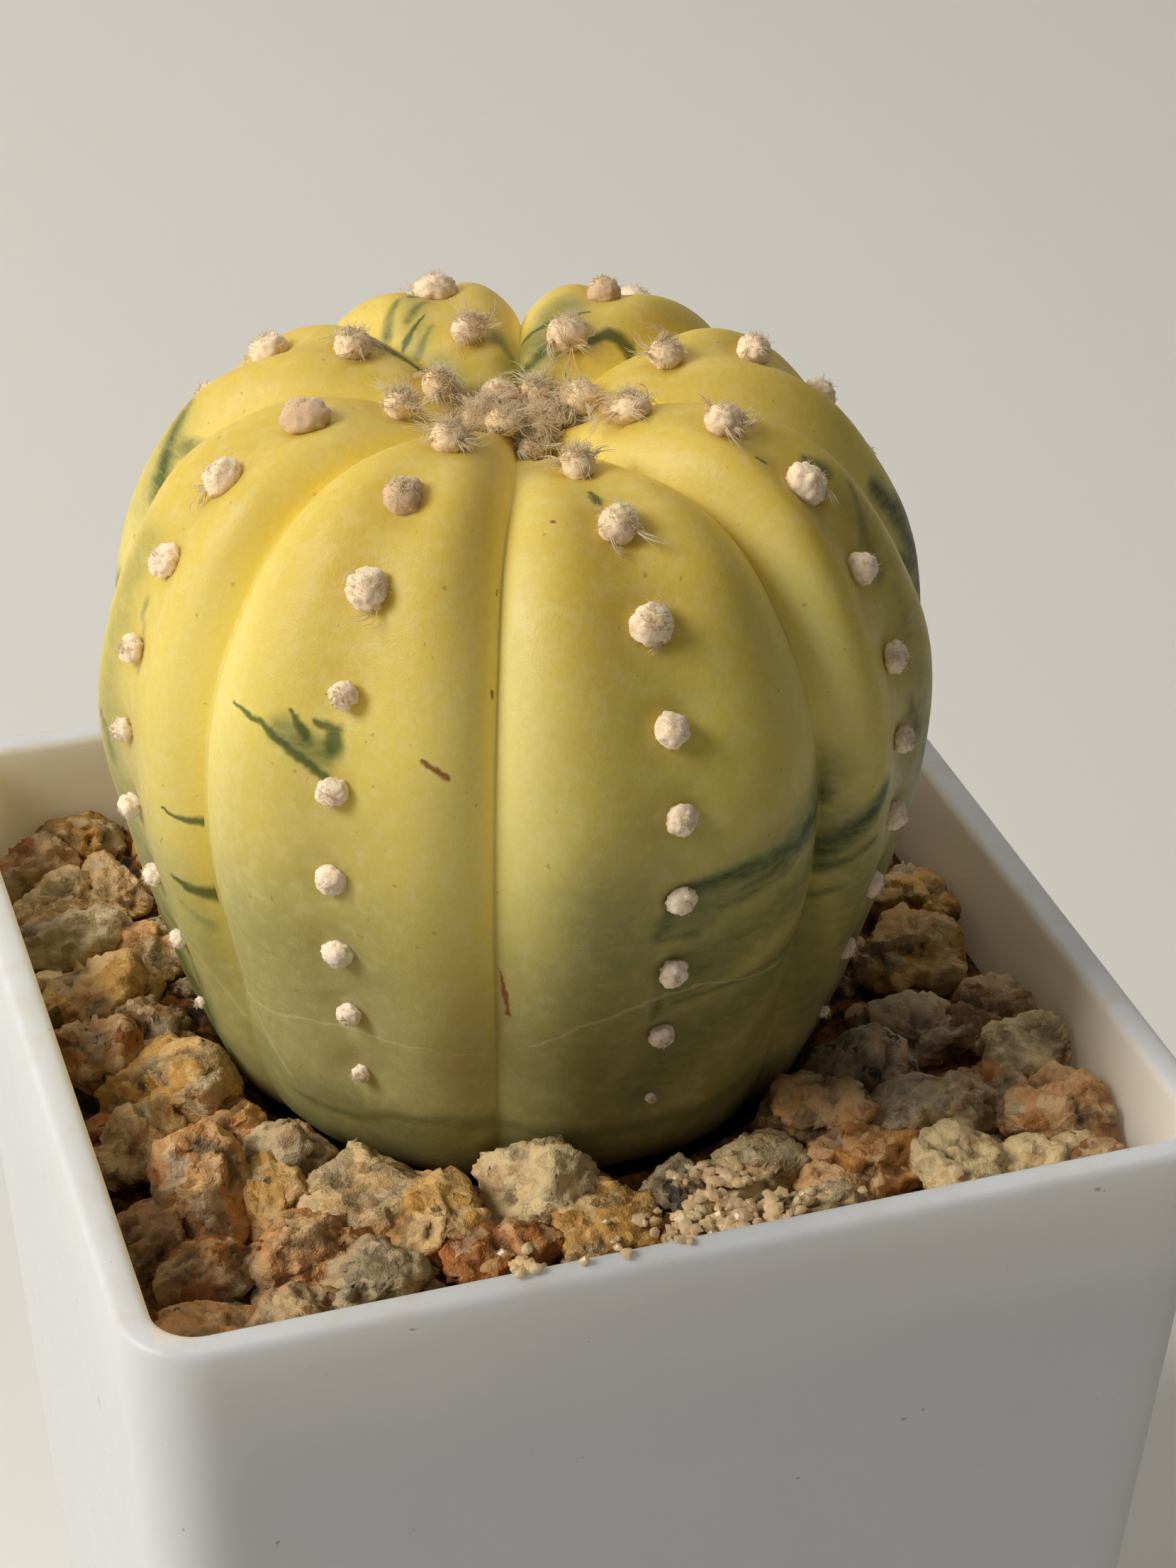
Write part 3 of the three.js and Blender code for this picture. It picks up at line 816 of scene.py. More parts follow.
# Green streaks: rib, then (place across the rib, distance along the crest) points from the thin end to
# the thick one, the streak's half width and its strength.
STREAKS = (
    (FRONT_RIGHT, ((-0.05, 42.2), (0.1, 41.6), (0.35, 40.9), (0.6, 40.6), (0.96, 39.9)), 1.7, 1.0),
    (FRONT_RIGHT, ((0.3, 42.2), (0.6, 41.4), (0.96, 40.8)), 1.3, 0.85),
    (FRONT_RIGHT, ((0.16, 43.6), (0.36, 42.9), (0.62, 42.2)), 0.9, 0.7),
    (FRONT_RIGHT, ((0.06, 48.0), (0.38, 46.2), (0.5, 45.6)), 0.7, 0.6),
    (FRONT_RIGHT, ((0.12, 41.4), (-0.02, 42.4), (-0.1, 44.6)), 1.0, 0.8),
    (FRONT_RIGHT, ((-0.06, 45.0), (0.1, 45.2)), 0.9, 0.8),
    (FRONT_RIGHT, ((0.05, 51.2), (0.42, 50.4), (0.7, 50.2), (0.97, 49.8)), 0.8, 0.85),
    (FRONT_RIGHT, ((-0.08, 50.2), (-0.05, 52.0)), 0.8, 0.85),
    (FRONT_RIGHT, ((0.23, 55.8), (0.25, 57.6)), 0.7, 0.5),
    (FRONT_RIGHT, ((-0.98, 61.6), (-0.6, 61.8), (-0.2, 62.6), (0.3, 63.0), (0.8, 61.8)), 1.4, 0.6),
    (FRONT_LEFT, ((-0.6, 62.8), (-0.08, 62.8), (0.19, 61.4), (0.58, 61.0), (0.98, 61.6)), 1.2, 0.6),
    (LEFT, ((0.62, 49.2), (0.86, 51.0)), 0.8, 0.45),
    (LEFT, ((-0.4, 54.0), (-0.3, 57.0), (-0.1, 60.5), (0.0, 63.0)), 3.2, 0.8),
    (LEFT, ((0.1, 56.0), (0.25, 60.0), (0.3, 63.5)), 2.2, 0.6),
    (LEFT, ((-0.08, 29.8), (-0.04, 31.4), (0.02, 32.6)), 0.5, 0.7),
    (LEFT, ((0.12, 33.2), (0.1, 34.4)), 0.4, 0.6),
    (LEFT, ((-0.4, 39.8), (-0.28, 41.0), (-0.26, 42.4)), 1.0, 0.8),
    (RIGHT, ((0.26, 20.0), (0.32, 21.4)), 0.9, 0.9),
    (RIGHT, ((0.44, 23.2), (0.36, 24.4), (0.24, 26.0), (0.2, 28.5)), 1.2, 0.6),
    (RIGHT, ((0.3, 30.0), (0.28, 33.0)), 1.4, 0.5),
    (RIGHT, ((0.14, 36.8), (0.2, 38.4), (0.26, 40.0)), 0.9, 0.8),
    (RIGHT, ((-0.4, 40.6), (-0.65, 42.2), (-0.81, 43.2), (-0.97, 44.4)), 2.0, 1.0),
    (RIGHT, ((-0.5, 44.0), (-0.73, 45.0), (-0.97, 46.0)), 0.8, 0.9),
    (RIGHT, ((-0.56, 46.4), (-0.83, 47.7), (-0.97, 48.4)), 0.7, 0.75),
    (RIGHT, ((0.4, 40.0), (0.5, 46.0), (0.5, 52.0)), 3.0, 0.6),
    (RIGHT, ((0.1, 44.0), (0.16, 50.0), (0.2, 58.0)), 1.6, 0.5),
    (RIGHT, ((-0.6, 56.0), (-0.2, 60.0), (0.3, 62.0)), 2.2, 0.5),
    (BACK_RIGHT, ((-0.78, 27.6), (-0.7, 30.4), (-0.62, 34.0)), 2.0, 1.0),
    (BACK_RIGHT, ((-0.58, 35.0), (-0.6, 37.6)), 1.6, 0.9),
    (BACK_LEFT, ((0.55, 23.0), (0.7, 25.4), (0.85, 28.0)), 1.7, 0.95),
    (BACK_LEFT, ((0.95, 22.6), (0.8, 24.4)), 1.0, 0.8),
    (REAR_RIGHT, ((0.2, 9.0), (0.5, 7.6), (0.9, 6.0)), 1.3, 1.0),
    (REAR_LEFT, ((-0.9, 7.0), (-0.6, 9.0)), 1.0, 0.7),
    (REAR_LEFT, ((0.25, 13.9), (0.42, 13.6), (0.64, 13.0)), 0.6, 0.8),
    (REAR_LEFT, ((0.52, 15.1), (0.72, 14.6), (0.9, 13.8)), 0.7, 0.8),
    (REAR_LEFT, ((0.45, 11.4), (0.7, 10.8), (0.92, 10.2)), 0.6, 0.7),
)
# Fine green strokes: rib, points from the thin end to the thick one, half width at each end.
FINE_STREAKS = (
    (FRONT_LEFT, ((-0.7, 32.2), (-0.46, 32.6), (-0.19, 34.0), (-0.05, 34.8)), 0.12, 0.34),
    (FRONT_LEFT, ((-0.31, 31.4), (-0.19, 32.6)), 0.14, 0.34),
    (FRONT_LEFT, ((-0.15, 31.7), (-0.03, 31.9), (-0.03, 32.8)), 0.2, 0.62),
    (LEFT, ((0.64, 41.7), (0.78, 42.1), (0.98, 42.4)), 0.06, 0.32),
    (LEFT, ((0.62, 47.0), (0.77, 47.8), (0.98, 48.4)), 0.1, 0.6),
    (FRONT_RIGHT, ((-0.1, 14.3), (-0.07, 15.1)), 0.2, 0.34),
    (RIGHT, ((-0.25, 17.8), (-0.19, 18.3)), 0.1, 0.22),
    (BACK_LEFT, ((-0.3, 8.0), (-0.52, 13.8)), 0.18, 0.55),
    (REAR_LEFT, ((0.45, 12.5), (0.88, 11.8)), 0.1, 0.28),
    (REAR_LEFT, ((0.12, 15.8), (0.36, 15.1)), 0.08, 0.2),
    (REAR_RIGHT, ((-0.06, 12.0), (0.3, 10.6), (0.92, 10.2)), 0.1, 0.26),
    (REAR_RIGHT, ((-0.3, 9.0), (-0.6, 11.0), (-0.9, 11.3)), 0.2, 0.55),
)
# Fine brown corky marks in the same form: a fleck, a scar in the front groove and specks.
FINE_SCARS = (
    (FRONT_LEFT, ((0.54, 32.6), (0.7, 33.3)), 0.12, 0.17),
    (FRONT_RIGHT, ((-0.96, 48.0), (-0.92, 51.4)), 0.1, 0.16),
    (FRONT_RIGHT, ((-0.58, 16.8), (-0.57, 16.95)), 0.1, 0.1),
    (FRONT_LEFT, ((0.97, 21.4), (0.97, 21.6)), 0.1, 0.1),
    (FRONT_LEFT, ((0.97, 28.0), (0.97, 28.2)), 0.12, 0.12),
)
# Thin pale lines where the low skin has stretched, in the same form.
FINE_CREASES = (
    (LEFT, ((-0.3, 46.0), (0.6, 58.0)), 0.08, 0.14),
    (LEFT, ((0.0, 49.0), (0.95, 58.8)), 0.08, 0.15),
    (FRONT_LEFT, ((-0.98, 56.2), (-0.33, 54.0), (0.5, 53.8), (0.9, 55.2)), 0.16, 0.1),
    (FRONT_LEFT, ((-0.95, 55.0), (-0.6, 61.0)), 0.1, 0.14),
    (FRONT_RIGHT, ((-0.79, 53.9), (-0.5, 51.4), (-0.19, 50.6)), 0.1, 0.14),
    (FRONT_RIGHT, ((-0.19, 50.6), (0.23, 50.0), (0.8, 51.2)), 0.14, 0.08),
)
# Zones of the flesh: where each starts and where it is full, sideways and downwards in millimetres.
# Painted shade in part: the right side, away from the light, is painted darker grey-green.
RIGHT_SHADE = ((16, 27), (-112, -96))
LEFT_SHADE = ((17, 27), (-102, -84))
LEFT_SHADE_SHARE = 0.6
REAR_SHADE = ((12, 26), (-110, -96))
REAR_SHADE_SHARE = 0.45
# Painted shade in part: the foot is painted darker grey-green where it enters the grit.
FOOT_SHADE = (-84, -74)
FOOT_SHADE_SHARE = 0.35
# Painted light: the plant's lower left is painted paler, where low light from the left falls.
LOW_LEFT_LIGHT_ZONE = ((2, 14), (-98, -84))
GLOW_EDGE = (0.2, 0.75)
# The ribs whose far flank glows as light passes through it, painted lighter as painted light.
GLOWING_RIBS = (FRONT_LEFT, LEFT)
# Pale green washes round the streaks, in the same form.
WASHES = (
    (FRONT_LEFT, ((-0.34, 32.6), (-0.2, 33.0), (-0.08, 33.4)), 1.2, 0.7),
    (FRONT_RIGHT, ((0.95, 38.5), (0.5, 41.0), (0.1, 43.5)), 2.8, 0.62),
    (FRONT_RIGHT, ((0.9, 44.0), (0.4, 46.0), (0.1, 49.0)), 3.6, 0.66),
    (FRONT_RIGHT, ((0.9, 50.0), (0.3, 54.0), (-0.1, 59.0)), 3.8, 0.6),
    (FRONT_RIGHT, ((0.95, 56.0), (0.5, 60.0)), 3.0, 0.4),
    (FRONT_RIGHT, ((-0.4, 42.0), (-0.3, 50.0), (-0.4, 58.0)), 4.6, 0.42),
    (FRONT_LEFT, ((-0.9, 60.5), (0.0, 61.5), (0.9, 61.5)), 2.0, 0.3),
    (LEFT, ((0.6, 46.0), (0.7, 51.0), (0.8, 56.0)), 2.2, 0.26),
    (LEFT, ((-0.35, 28.0), (-0.3, 36.0), (-0.26, 46.0), (-0.1, 56.0)), 2.6, 0.4),
    (RIGHT, ((-0.95, 42.0), (-0.6, 46.0), (-0.4, 52.0)), 3.0, 0.55),
    (RIGHT, ((-0.9, 52.0), (-0.6, 58.0)), 3.0, 0.5),
    (RIGHT, ((0.4, 24.0), (0.3, 34.0), (0.3, 44.0)), 3.0, 0.36),
    (BACK_RIGHT, ((-0.7, 29.0), (-0.6, 34.0), (-0.6, 40.0)), 2.6, 0.4),
    (BACK_LEFT, ((0.6, 24.0), (0.8, 30.0)), 2.6, 0.34),
    (REAR_LEFT, ((0.8, 11.0), (0.5, 13.4), (0.2, 15.4)), 1.8, 0.4),
    (REAR_RIGHT, ((0.8, 6.0), (0.5, 9.0), (0.4, 12.0)), 2.4, 0.65),
    (REAR_LEFT, ((0.9, 4.0), (0.9, 8.0)), 2.0, 0.5),
    (BACK_LEFT, ((-0.4, 8.0), (-0.4, 13.0)), 1.2, 0.3),
)
BACK_RIBS = (BACK_RIGHT, REAR_RIGHT, REAR_LEFT, BACK_LEFT)
BACK_BANDS = 5
BAND_STREAKS = 4
# The streaks of the back ribs: the lowest value of each measure and how far it is spread.
BAND_ALONG = (27, 30)
BAND_HEIGHT = 5
BAND_START = (-0.08, 0.4)
BAND_REACH = (0.35, 0.5)
BAND_DROP = (1.5, 3)
BAND_BEND = 0.35
BAND_WIDTH = (0.5, 1.3)
BAND_STRENGTH = (0.6, 0.4)
BAND_LIMIT = 0.97


def distance_to_line(points, line):
    """How far points are from a line of points, in millimetres, and how far along it, from 0 to 1."""
    best = np.full(len(points), np.inf)
    progress = np.zeros(len(points))
    for number, (start, end) in enumerate(zip(line[:-1], line[1:])):
        run = end - start
        share = np.clip((points - start) @ run / max(run @ run, 1e-9), 0, 1)
        away = np.linalg.norm(points - (start + share[:, None] * run), axis=1)
        progress = np.where(away < best, (number + share) / (len(line) - 1), progress)
        best = np.minimum(best, away)
    return best, progress


def skin_line(stops):
    """A line on the skin through (rib, across, along) stops."""
    line = []
    for (rib_a, across_a, along_a), (rib_b, across_b, along_b) in zip(stops[:-1], stops[1:]):
        a = skin_point(along_a, rib_a, across_a)
        b = skin_point(along_b, rib_b, across_b)
        same = rib_a == rib_b
        for share in np.linspace(0, 1, 5)[:-1]:
            if same:
                across = lerp(across_a, across_b, share)
                line.append(skin_point(lerp(along_a, along_b, share), rib_a, across))
            else:
                line.append(lerp(a, b, share))
    line.append(skin_point(stops[-1][2], stops[-1][0], stops[-1][1]))
    return np.array(line)


def back_streaks():
    """Streaks of the ribs that the front view doesn't show, by a seeded rule."""
    draw = seeded_random(SEED)
    streaks = []
    for rib in BACK_RIBS:
        for _ in range(BACK_BANDS):
            middle = draw_between(draw, *BAND_ALONG)
            side = 1 if next(draw) > 0.5 else -1
            for _ in range(BAND_STREAKS):
                across = side * draw_between(draw, *BAND_START)
                along = draw_between(draw, middle, BAND_HEIGHT)
                reach = side * draw_between(draw, *BAND_REACH)
                drop = draw_between(draw, *BAND_DROP)
                half_width = draw_between(draw, *BAND_WIDTH)
                stops = (
                    (across, along),
                    (across + reach / 2, along - drop * BAND_BEND),
                    (np.clip(across + reach, -BAND_LIMIT, BAND_LIMIT), along - drop),
                )
                streaks.append((rib, stops, half_width, draw_between(draw, *BAND_STRENGTH)))
    return streaks


def streak_mask(points):
    """How green the skin is at each point, from 0 to 1."""
    green = np.zeros(len(points))
    tapered = [(*streak, STREAK_TAPER) for streak in (*STREAKS, *back_streaks())]
    even = [(*wash, 1.0) for wash in WASHES]
    for rib, stops, half_width, strength, taper in (*tapered, *even):
        line = skin_line([(rib, across, along) for across, along in stops])
        away, progress = distance_to_line(points, line)
        spread = half_width * STREAK_SPREAD * lerp(taper, 1, progress)
        green = np.maximum(green, strength * (1 - smoothstep(away, 0, spread)))
    return green


def stroke_point(rib, across, along):
    """A place on the skin as millimetres across the rib, along it and by rib, as strokes are drawn."""
    return Vector((across * float(crest_at(along)[0]) * math.pi / RIB_COUNT, along, rib * RIB_SPACING))


# Materials

def set_input(tree, node, name, value):
    """Links a socket to a node's input, or sets the input to a plain value."""
    if isinstance(value, bpy.types.NodeSocket):
        tree.links.new(value, node.inputs[name])
    else:
        node.inputs[name].default_value = value


def place(tree, kind, inputs, **options):
    """Adds a shader node, sets its options, and sets or links its inputs by name or number."""
    node = tree.nodes.new("ShaderNode" + kind)
    for name, value in options.items():
        setattr(node, name, value)
    for name, value in inputs.items():
        set_input(tree, node, name, value)
    return node


def calc(tree, operation, a, b=0.0, **options):
    """The result of a sum on one or two values."""
    return place(tree, "Math", {0: a, 1: b}, operation=operation, **options).outputs[0]


def times(tree, a, b, **options):
    """The product of two values."""
    return calc(tree, "MULTIPLY", a, b, **options)


def plus(tree, a, b):
    """The sum of two values."""
    return calc(tree, "ADD", a, b)


def minus(tree, a, b):
    """The difference of two values."""
    return calc(tree, "SUBTRACT", a, b)


def vectors(tree, operation, a, b, output="Vector"):
    """The result of a sum on two vectors, or on a vector and a scale."""
    second = "Scale" if operation == "SCALE" else 1
    return place(tree, "VectorMath", {0: a, second: b}, operation=operation).outputs[output]


def ramp(tree, value, low, high, out_low=0.0, out_high=1.0):
    """A smooth step of a value between two limits."""
    inputs = {"Value": value, "From Min": low, "From Max": high, "To Min": out_low, "To Max": out_high}
    return place(tree, "MapRange", inputs, interpolation_type="SMOOTHSTEP").outputs[0]


def blend(tree, share, a, b, mode="MIX"):
    """Mixes two colours by a share."""
    node = place(tree, "Mix", {0: share, 6: a, 7: b}, data_type="RGBA", blend_type=mode)
    return node.outputs[2]


def tint(tree, colour, share, shade, most=None):
    """Lays a shade over a colour by a share of the surface, which most scales down."""
    if most is not None:
        share = times(tree, share, most)
    return blend(tree, share, colour, rgba(shade))


def stored(tree, name, output="Fac"):
    """What an attribute of the piece holds at each point."""
    return place(tree, "Attribute", {}, attribute_name=name).outputs[output]


def speckle(tree, vector, scale, detail=3.0, roughness=0.6):
    """Noise over the surface, with its scale in features per metre."""
    inputs = {"Vector": vector, "Scale": scale, "Detail": detail, "Roughness": roughness}
    return place(tree, "TexNoise", inputs).outputs["Fac"]


def colour_noise(tree, vector, scale, detail):
    """Noise that pushes a place three ways at once."""
    inputs = {"Vector": vector, "Scale": scale, "Detail": detail}
    return place(tree, "TexNoise", inputs).outputs["Color"]


def object_place(tree):
    """The place on the object, in metres."""
    return place(tree, "TexCoord", {}).outputs["Object"]


def height_of(tree, vector):
    """The height of a place."""
    return place(tree, "SeparateXYZ", {0: vector}).outputs["Z"]


def stretched(tree, vector, scale):
    """A place that is scaled differently along each axis."""
    return place(tree, "Mapping", {"Vector": vector, "Scale": scale}).outputs[0]


def shared_group(name, inputs, outputs, fill):
    """A node group with named inputs and outputs, which fill builds the first time it is used."""
    if name not in bpy.data.node_groups:
        group = bpy.data.node_groups.new(name, "ShaderNodeTree")
        new_socket = group.interface.new_socket
        for socket_name, kind, default in inputs:
            socket = new_socket(socket_name, in_out="INPUT", socket_type="NodeSocket" + kind)
            socket.default_value = default
        for socket_name, kind in outputs:
            new_socket(socket_name, in_out="OUTPUT", socket_type="NodeSocket" + kind)
        start = group.nodes.new("NodeGroupInput")
        end = group.nodes.new("NodeGroupOutput")
        for socket_name, result in fill(group, start.outputs).items():
            group.links.new(result, end.inputs[socket_name])
    return bpy.data.node_groups[name]


def use_group(tree, group, inputs):
    """Places a node group and sets or links its inputs."""
    node = tree.nodes.new("ShaderNodeGroup")
    node.node_tree = group
    for name, value in inputs.items():
        set_input(tree, node, name, value)
    return node


def fill_grain(group, given):
    """Mottles a colour at two scales and gives the grain's height."""
    vector = object_place(group)
    coarse = speckle(group, vector, given["Scale"], 3.0)
    fine = speckle(group, vector, times(group, given["Scale"], FINE_GRAIN_RATIO), 2.0)
    height = plus(group, times(group, coarse, 1 - FINE_GRAIN_SHARE), times(group, fine, FINE_GRAIN_SHARE))
    swing = times(group, minus(group, height, 0.5), given["Amount"])
    bright = plus(group, swing, 1.0)
    grey = place(group, "CombineColor", {0: bright, 1: bright, 2: bright}).outputs[0]
    return {"Color": blend(group, 1.0, given["Color"], grey, "MULTIPLY"), "Height": height}


def grain_group():
    """Fine grain: a colour mottled at two scales, and a height for bump."""
    inputs = (("Color", "Color", rgba(HALF)), ("Scale", "Float", 1000.0), ("Amount", "Float", 0.1))
    return shared_group("fine_grain", inputs, (("Color", "Color"), ("Height", "Float")), fill_grain)


def fill_stroke(group, given):
    """Measures how far a place is from a stroke, against the stroke's half width there."""
    run = given["Run"]
    away = vectors(group, "SUBTRACT", given["Place"], given["Start"])
    reach = vectors(group, "DOT_PRODUCT", away, run, "Value")
    share = times(group, reach, given["Per length"], use_clamp=True)
    gap = vectors(group, "DISTANCE", away, vectors(group, "SCALE", run, share), "Value")
    width = plus(group, times(group, share, given["Widening"]), given["Thin"])
    return {"Gap": calc(group, "DIVIDE", gap, width)}


def stroke_group():
    """A tapering stroke: how far a place is from it, in half widths."""
    inputs = (
        ("Place", "Vector", (0.0, 0.0, 0.0)),
        ("Start", "Vector", (0.0, 0.0, 0.0)),
        ("Run", "Vector", (0.0, 1.0, 0.0)),
        ("Per length", "Float", 1.0),
        ("Thin", "Float", 0.1),
        ("Widening", "Float", 0.0),
    )
    return shared_group("stroke", inputs, (("Gap", "Float"),), fill_stroke)


def fill_broken(group, given):
    """Tilts each cell of a pattern its own way."""
    vector, scale = given["Vector"], given["Scale"]
    cells = place(group, "TexVoronoi", {"Vector": vector, "Scale": scale}, feature="F1")
    away = vectors(group, "SUBTRACT", vector, cells.outputs["Position"])
    scaled = vectors(group, "SCALE", away, scale)
    tilt = vectors(group, "SUBTRACT", cells.outputs["Color"], HALF)
    height = vectors(group, "DOT_PRODUCT", scaled, tilt, "Value")
    return {"Height": height, "Color": cells.outputs["Color"]}


def broken_group():
    """Broken faces: a height that tilts from face to face, and random numbers for each face."""
    inputs = (("Vector", "Vector", (0.0, 0.0, 0.0)), ("Scale", "Float", 1000.0))
    return shared_group("broken_faces", inputs, (("Height", "Float"), ("Color", "Color")), fill_broken)


def start_material(name, finish):
    """A material, its node tree and its Principled shader with the values of a finish."""
    material = bpy.data.materials.new(name)
    material.use_nodes = True
    tree = material.node_tree
    shader = tree.nodes["Principled BSDF"]
    shader.subsurface_method = "BURLEY"
    for socket, value in finish.items():
        shader.inputs[socket].default_value = value
    return material, tree, shader


def add_colour(tree, shader, colour, scale, amount):
    """Gives a shader its colour through the fine grain, and returns the grain's height."""
    grain = use_group(tree, grain_group(), {"Color": colour, "Scale": scale, "Amount": amount})
    tree.links.new(grain.outputs["Color"], shader.inputs["Base Color"])
    return grain.outputs["Height"]


def add_roughness(tree, shader, value, low, high, out_low, out_high):
    """Makes a shader's roughness follow a value."""
    tree.links.new(ramp(tree, value, low, high, out_low, out_high), shader.inputs["Roughness"])


def add_bump(tree, shader, height, distance, strength=1.0):
    """Bump from a height, with its full depth in millimetres."""
    inputs = {"Height": height, "Distance": distance * MM, "Strength": strength}
    bump = place(tree, "Bump", inputs)
    tree.links.new(bump.outputs["Normal"], shader.inputs["Normal"])


def draw_strokes(tree, spot, strokes):
    """One mask of all the strokes in a list."""
    nearest = None
    for rib, stops, thin, thick in strokes:
        points = [stroke_point(rib, across, along) for across, along in stops]
        widths = np.linspace(thin, thick, len(points))
        for number, (start, end) in enumerate(zip(points[:-1], points[1:])):
            run = end - start
            inputs = {
                "Place": spot,
                "Start": start,
                "Run": run,
                "Per length": 1 / run.length_squared,
                "Thin": float(widths[number]),
                "Widening": float(widths[number + 1] - widths[number]),
            }
            gap = use_group(tree, stroke_group(), inputs).outputs["Gap"]
            nearest = gap if nearest is None else calc(tree, "MINIMUM", nearest, gap)
    return ramp(tree, nearest, *STROKE_EDGE)


def flesh_zones(tree, vector, height, level, settings):
    """The flesh by zones, with painted light and shade among them: olive low down, grey-green sides, pale
    bands by the grooves, amber on top.
    """
    groove = stored(tree, "groove")
    # Darker olive low down: partly the older flesh, partly painted shade on the low faces that turn down
    # from the light.
    low = ramp(tree, level, *LOW_FLESH_LEVELS)
    flesh = blend(tree, low, rgba(settings.flesh), rgba(settings.low_flesh_and_shade))
    # Painted light: paler flesh at the lower left, where low light from the left falls.
    flesh = tint(tree, flesh, stored(tree, "pale"), settings.low_left_light, LOW_LEFT_LIGHT_SHARE)
    # Grey-green sides: partly real colour, partly painted shade on the right side away from the light and
    # at the foot.
    flesh = tint(tree, flesh, stored(tree, "shade"), settings.side_flesh_and_shade, SIDE_SHARE)
    # Paler bands by the grooves: partly a real paler band, mostly painted light on the flanks that face
    # the light.
    band = times(tree, ramp(tree, groove, *GROOVE_BAND), ramp(tree, height, *BAND_LEVELS))
    band = times(tree, band, ramp(tree, height, *BAND_FADE_LEVELS, *BAND_FADE))
    flesh = tint(tree, flesh, band, settings.groove_band_and_light, BAND_SHARE)
    # Painted light: the far flanks of these ribs are painted lighter, as light passing through the flesh.
    glow = times(tree, stored(tree, "far_side"), ramp(tree, height, *GLOW_LEVELS, *GLOW_FADE))
    flesh = tint(tree, flesh, glow, settings.glow_flesh)
    # Amber on the upper crests: painted shade on the faces that turn up, which get less light from the
    # side.
    top_shade = times(tree, ramp(tree, height, *AMBER_LEVELS), ramp(tree, groove, *AMBER_REACH))
    flesh = tint(tree, flesh, top_shade, settings.amber, AMBER_SHARE)
    # Painted shade: darker along the lower crests, where the areoles shade them.
    high = ramp(tree, height, *CREST_LEVELS, *CREST_FADE)
    crest = times(tree, ramp(tree, groove, *CREST_REACH), high)
    flesh = tint(tree, flesh, crest, settings.low_flesh_and_shade)
    mottle = ramp(tree, speckle(tree, vector, *MOTTLE_NOISE), *MOTTLE_EDGE)
    return tint(tree, flesh, mottle, settings.fleck, MOTTLE_SHARE)


def streaked(tree, vector, flesh, settings):
    """The green streaks with their feathered edges, over the flesh."""
    drawn = stretched(tree, vector, STREAK_STRETCH)
    ragged = minus(tree, speckle(tree, drawn, *RAGGED_NOISE), 0.5)
    green = stored(tree, "green")
    fibre = times(tree, times(tree, ragged, settings.feather), green)
    stain = plus(tree, green, times(tree, fibre, FIBRE_AMOUNT))
    flesh = tint(tree, flesh, ramp(tree, stain, *STAIN_EDGE), settings.side_flesh_and_shade, STAIN_SHARE)
    return tint(tree, flesh, ramp(tree, stain, *CORE_EDGE), settings.streak, CORE_SHARE)


def skin_material(settings):
    """Waxy, slightly translucent flesh: yellow with green streaks, olive low down, with painted light and
    shade in its zones.
    """
    material, tree, shader = start_material("cactus_skin", SKIN_FINISH)
    shader.inputs["Subsurface Weight"].default_value = settings.translucency
    vector = object_place(tree)
    height = height_of(tree, vector)
    broad = speckle(tree, vector, *BROAD_NOISE)
    level = plus(tree, height, times(tree, minus(tree, broad, 0.5), LEVEL_WANDER))
    flesh = flesh_zones(tree, vector, height, level, settings)
    flesh = streaked(tree, vector, flesh, settings)
    jitter = vectors(tree, "SUBTRACT", colour_noise(tree, vector, *JITTER_NOISE), HALF)
    jitter = vectors(tree, "SCALE", jitter, STROKE_JITTER)
    spot = vectors(tree, "ADD", stored(tree, "skin_place", "Vector"), jitter)
    dots = ramp(tree, speckle(tree, vector, *DOT_NOISE), *DOT_EDGE)
    flesh = tint(tree, flesh, dots, settings.scar, DOT_SHARE)
    flesh = tint(tree, flesh, draw_strokes(tree, spot, FINE_STREAKS), settings.streak, FINE_STREAK_SHARE)
    creases = draw_strokes(tree, spot, FINE_CREASES)
    flesh = tint(tree, flesh, creases, settings.fleck, CREASE_SHARE)
    # Darker at the foot where the plant enters the grit: mostly painted shade, over real dark mottling.
    flesh = tint(tree, flesh, ramp(tree, level, *FOOT_LEVELS), settings.foot, FOOT_SHARE)
    # Painted shade: a darker line along the bottom of the grooves.
    line = ramp(tree, stored(tree, "groove"), *GROOVE_LINE)
    flesh = tint(tree, flesh, line, settings.groove_shade_line, GROOVE_LINE_SHARE)
    flesh = tint(tree, flesh, draw_strokes(tree, spot, FINE_SCARS), settings.scar, SCAR_SHARE)
    grain = add_colour(tree, shader, flesh, *SKIN_GRAIN)
    add_roughness(tree, shader, speckle(tree, vector, SKIN_SHEEN_SCALE), *SKIN_SHEEN)
    add_bump(tree, shader, minus(tree, grain, times(tree, creases, CREASE_DENT)), *SKIN_BUMP)
    return material


def wool_material(settings):
    """Felted wool: cream, with browner patches of painted shade for its hollows."""
    material, tree, shader = start_material("areole_wool", WOOL_FINISH)
    vector = object_place(tree)
    lumps = ramp(tree, speckle(tree, vector, *WOOL_SHADE_NOISE), *WOOL_SHADE_EDGE)
    colour = blend(tree, stored(tree, "age"), rgba(settings.wool), rgba(settings.old_wool))
    # Painted shade: browner patches that stand in for the shade in the wool's hollows.
    colour = blend(tree, lumps, rgba(settings.wool_shade), colour)
    colour = tint(tree, colour, stored(tree, "tan"), settings.suede)
    grain = add_colour(tree, shader, colour, *WOOL_GRAIN)
    add_bump(tree, shader, plus(tree, grain, speckle(tree, vector, *WOOL_NOISE)), *WOOL_BUMP)
    return material


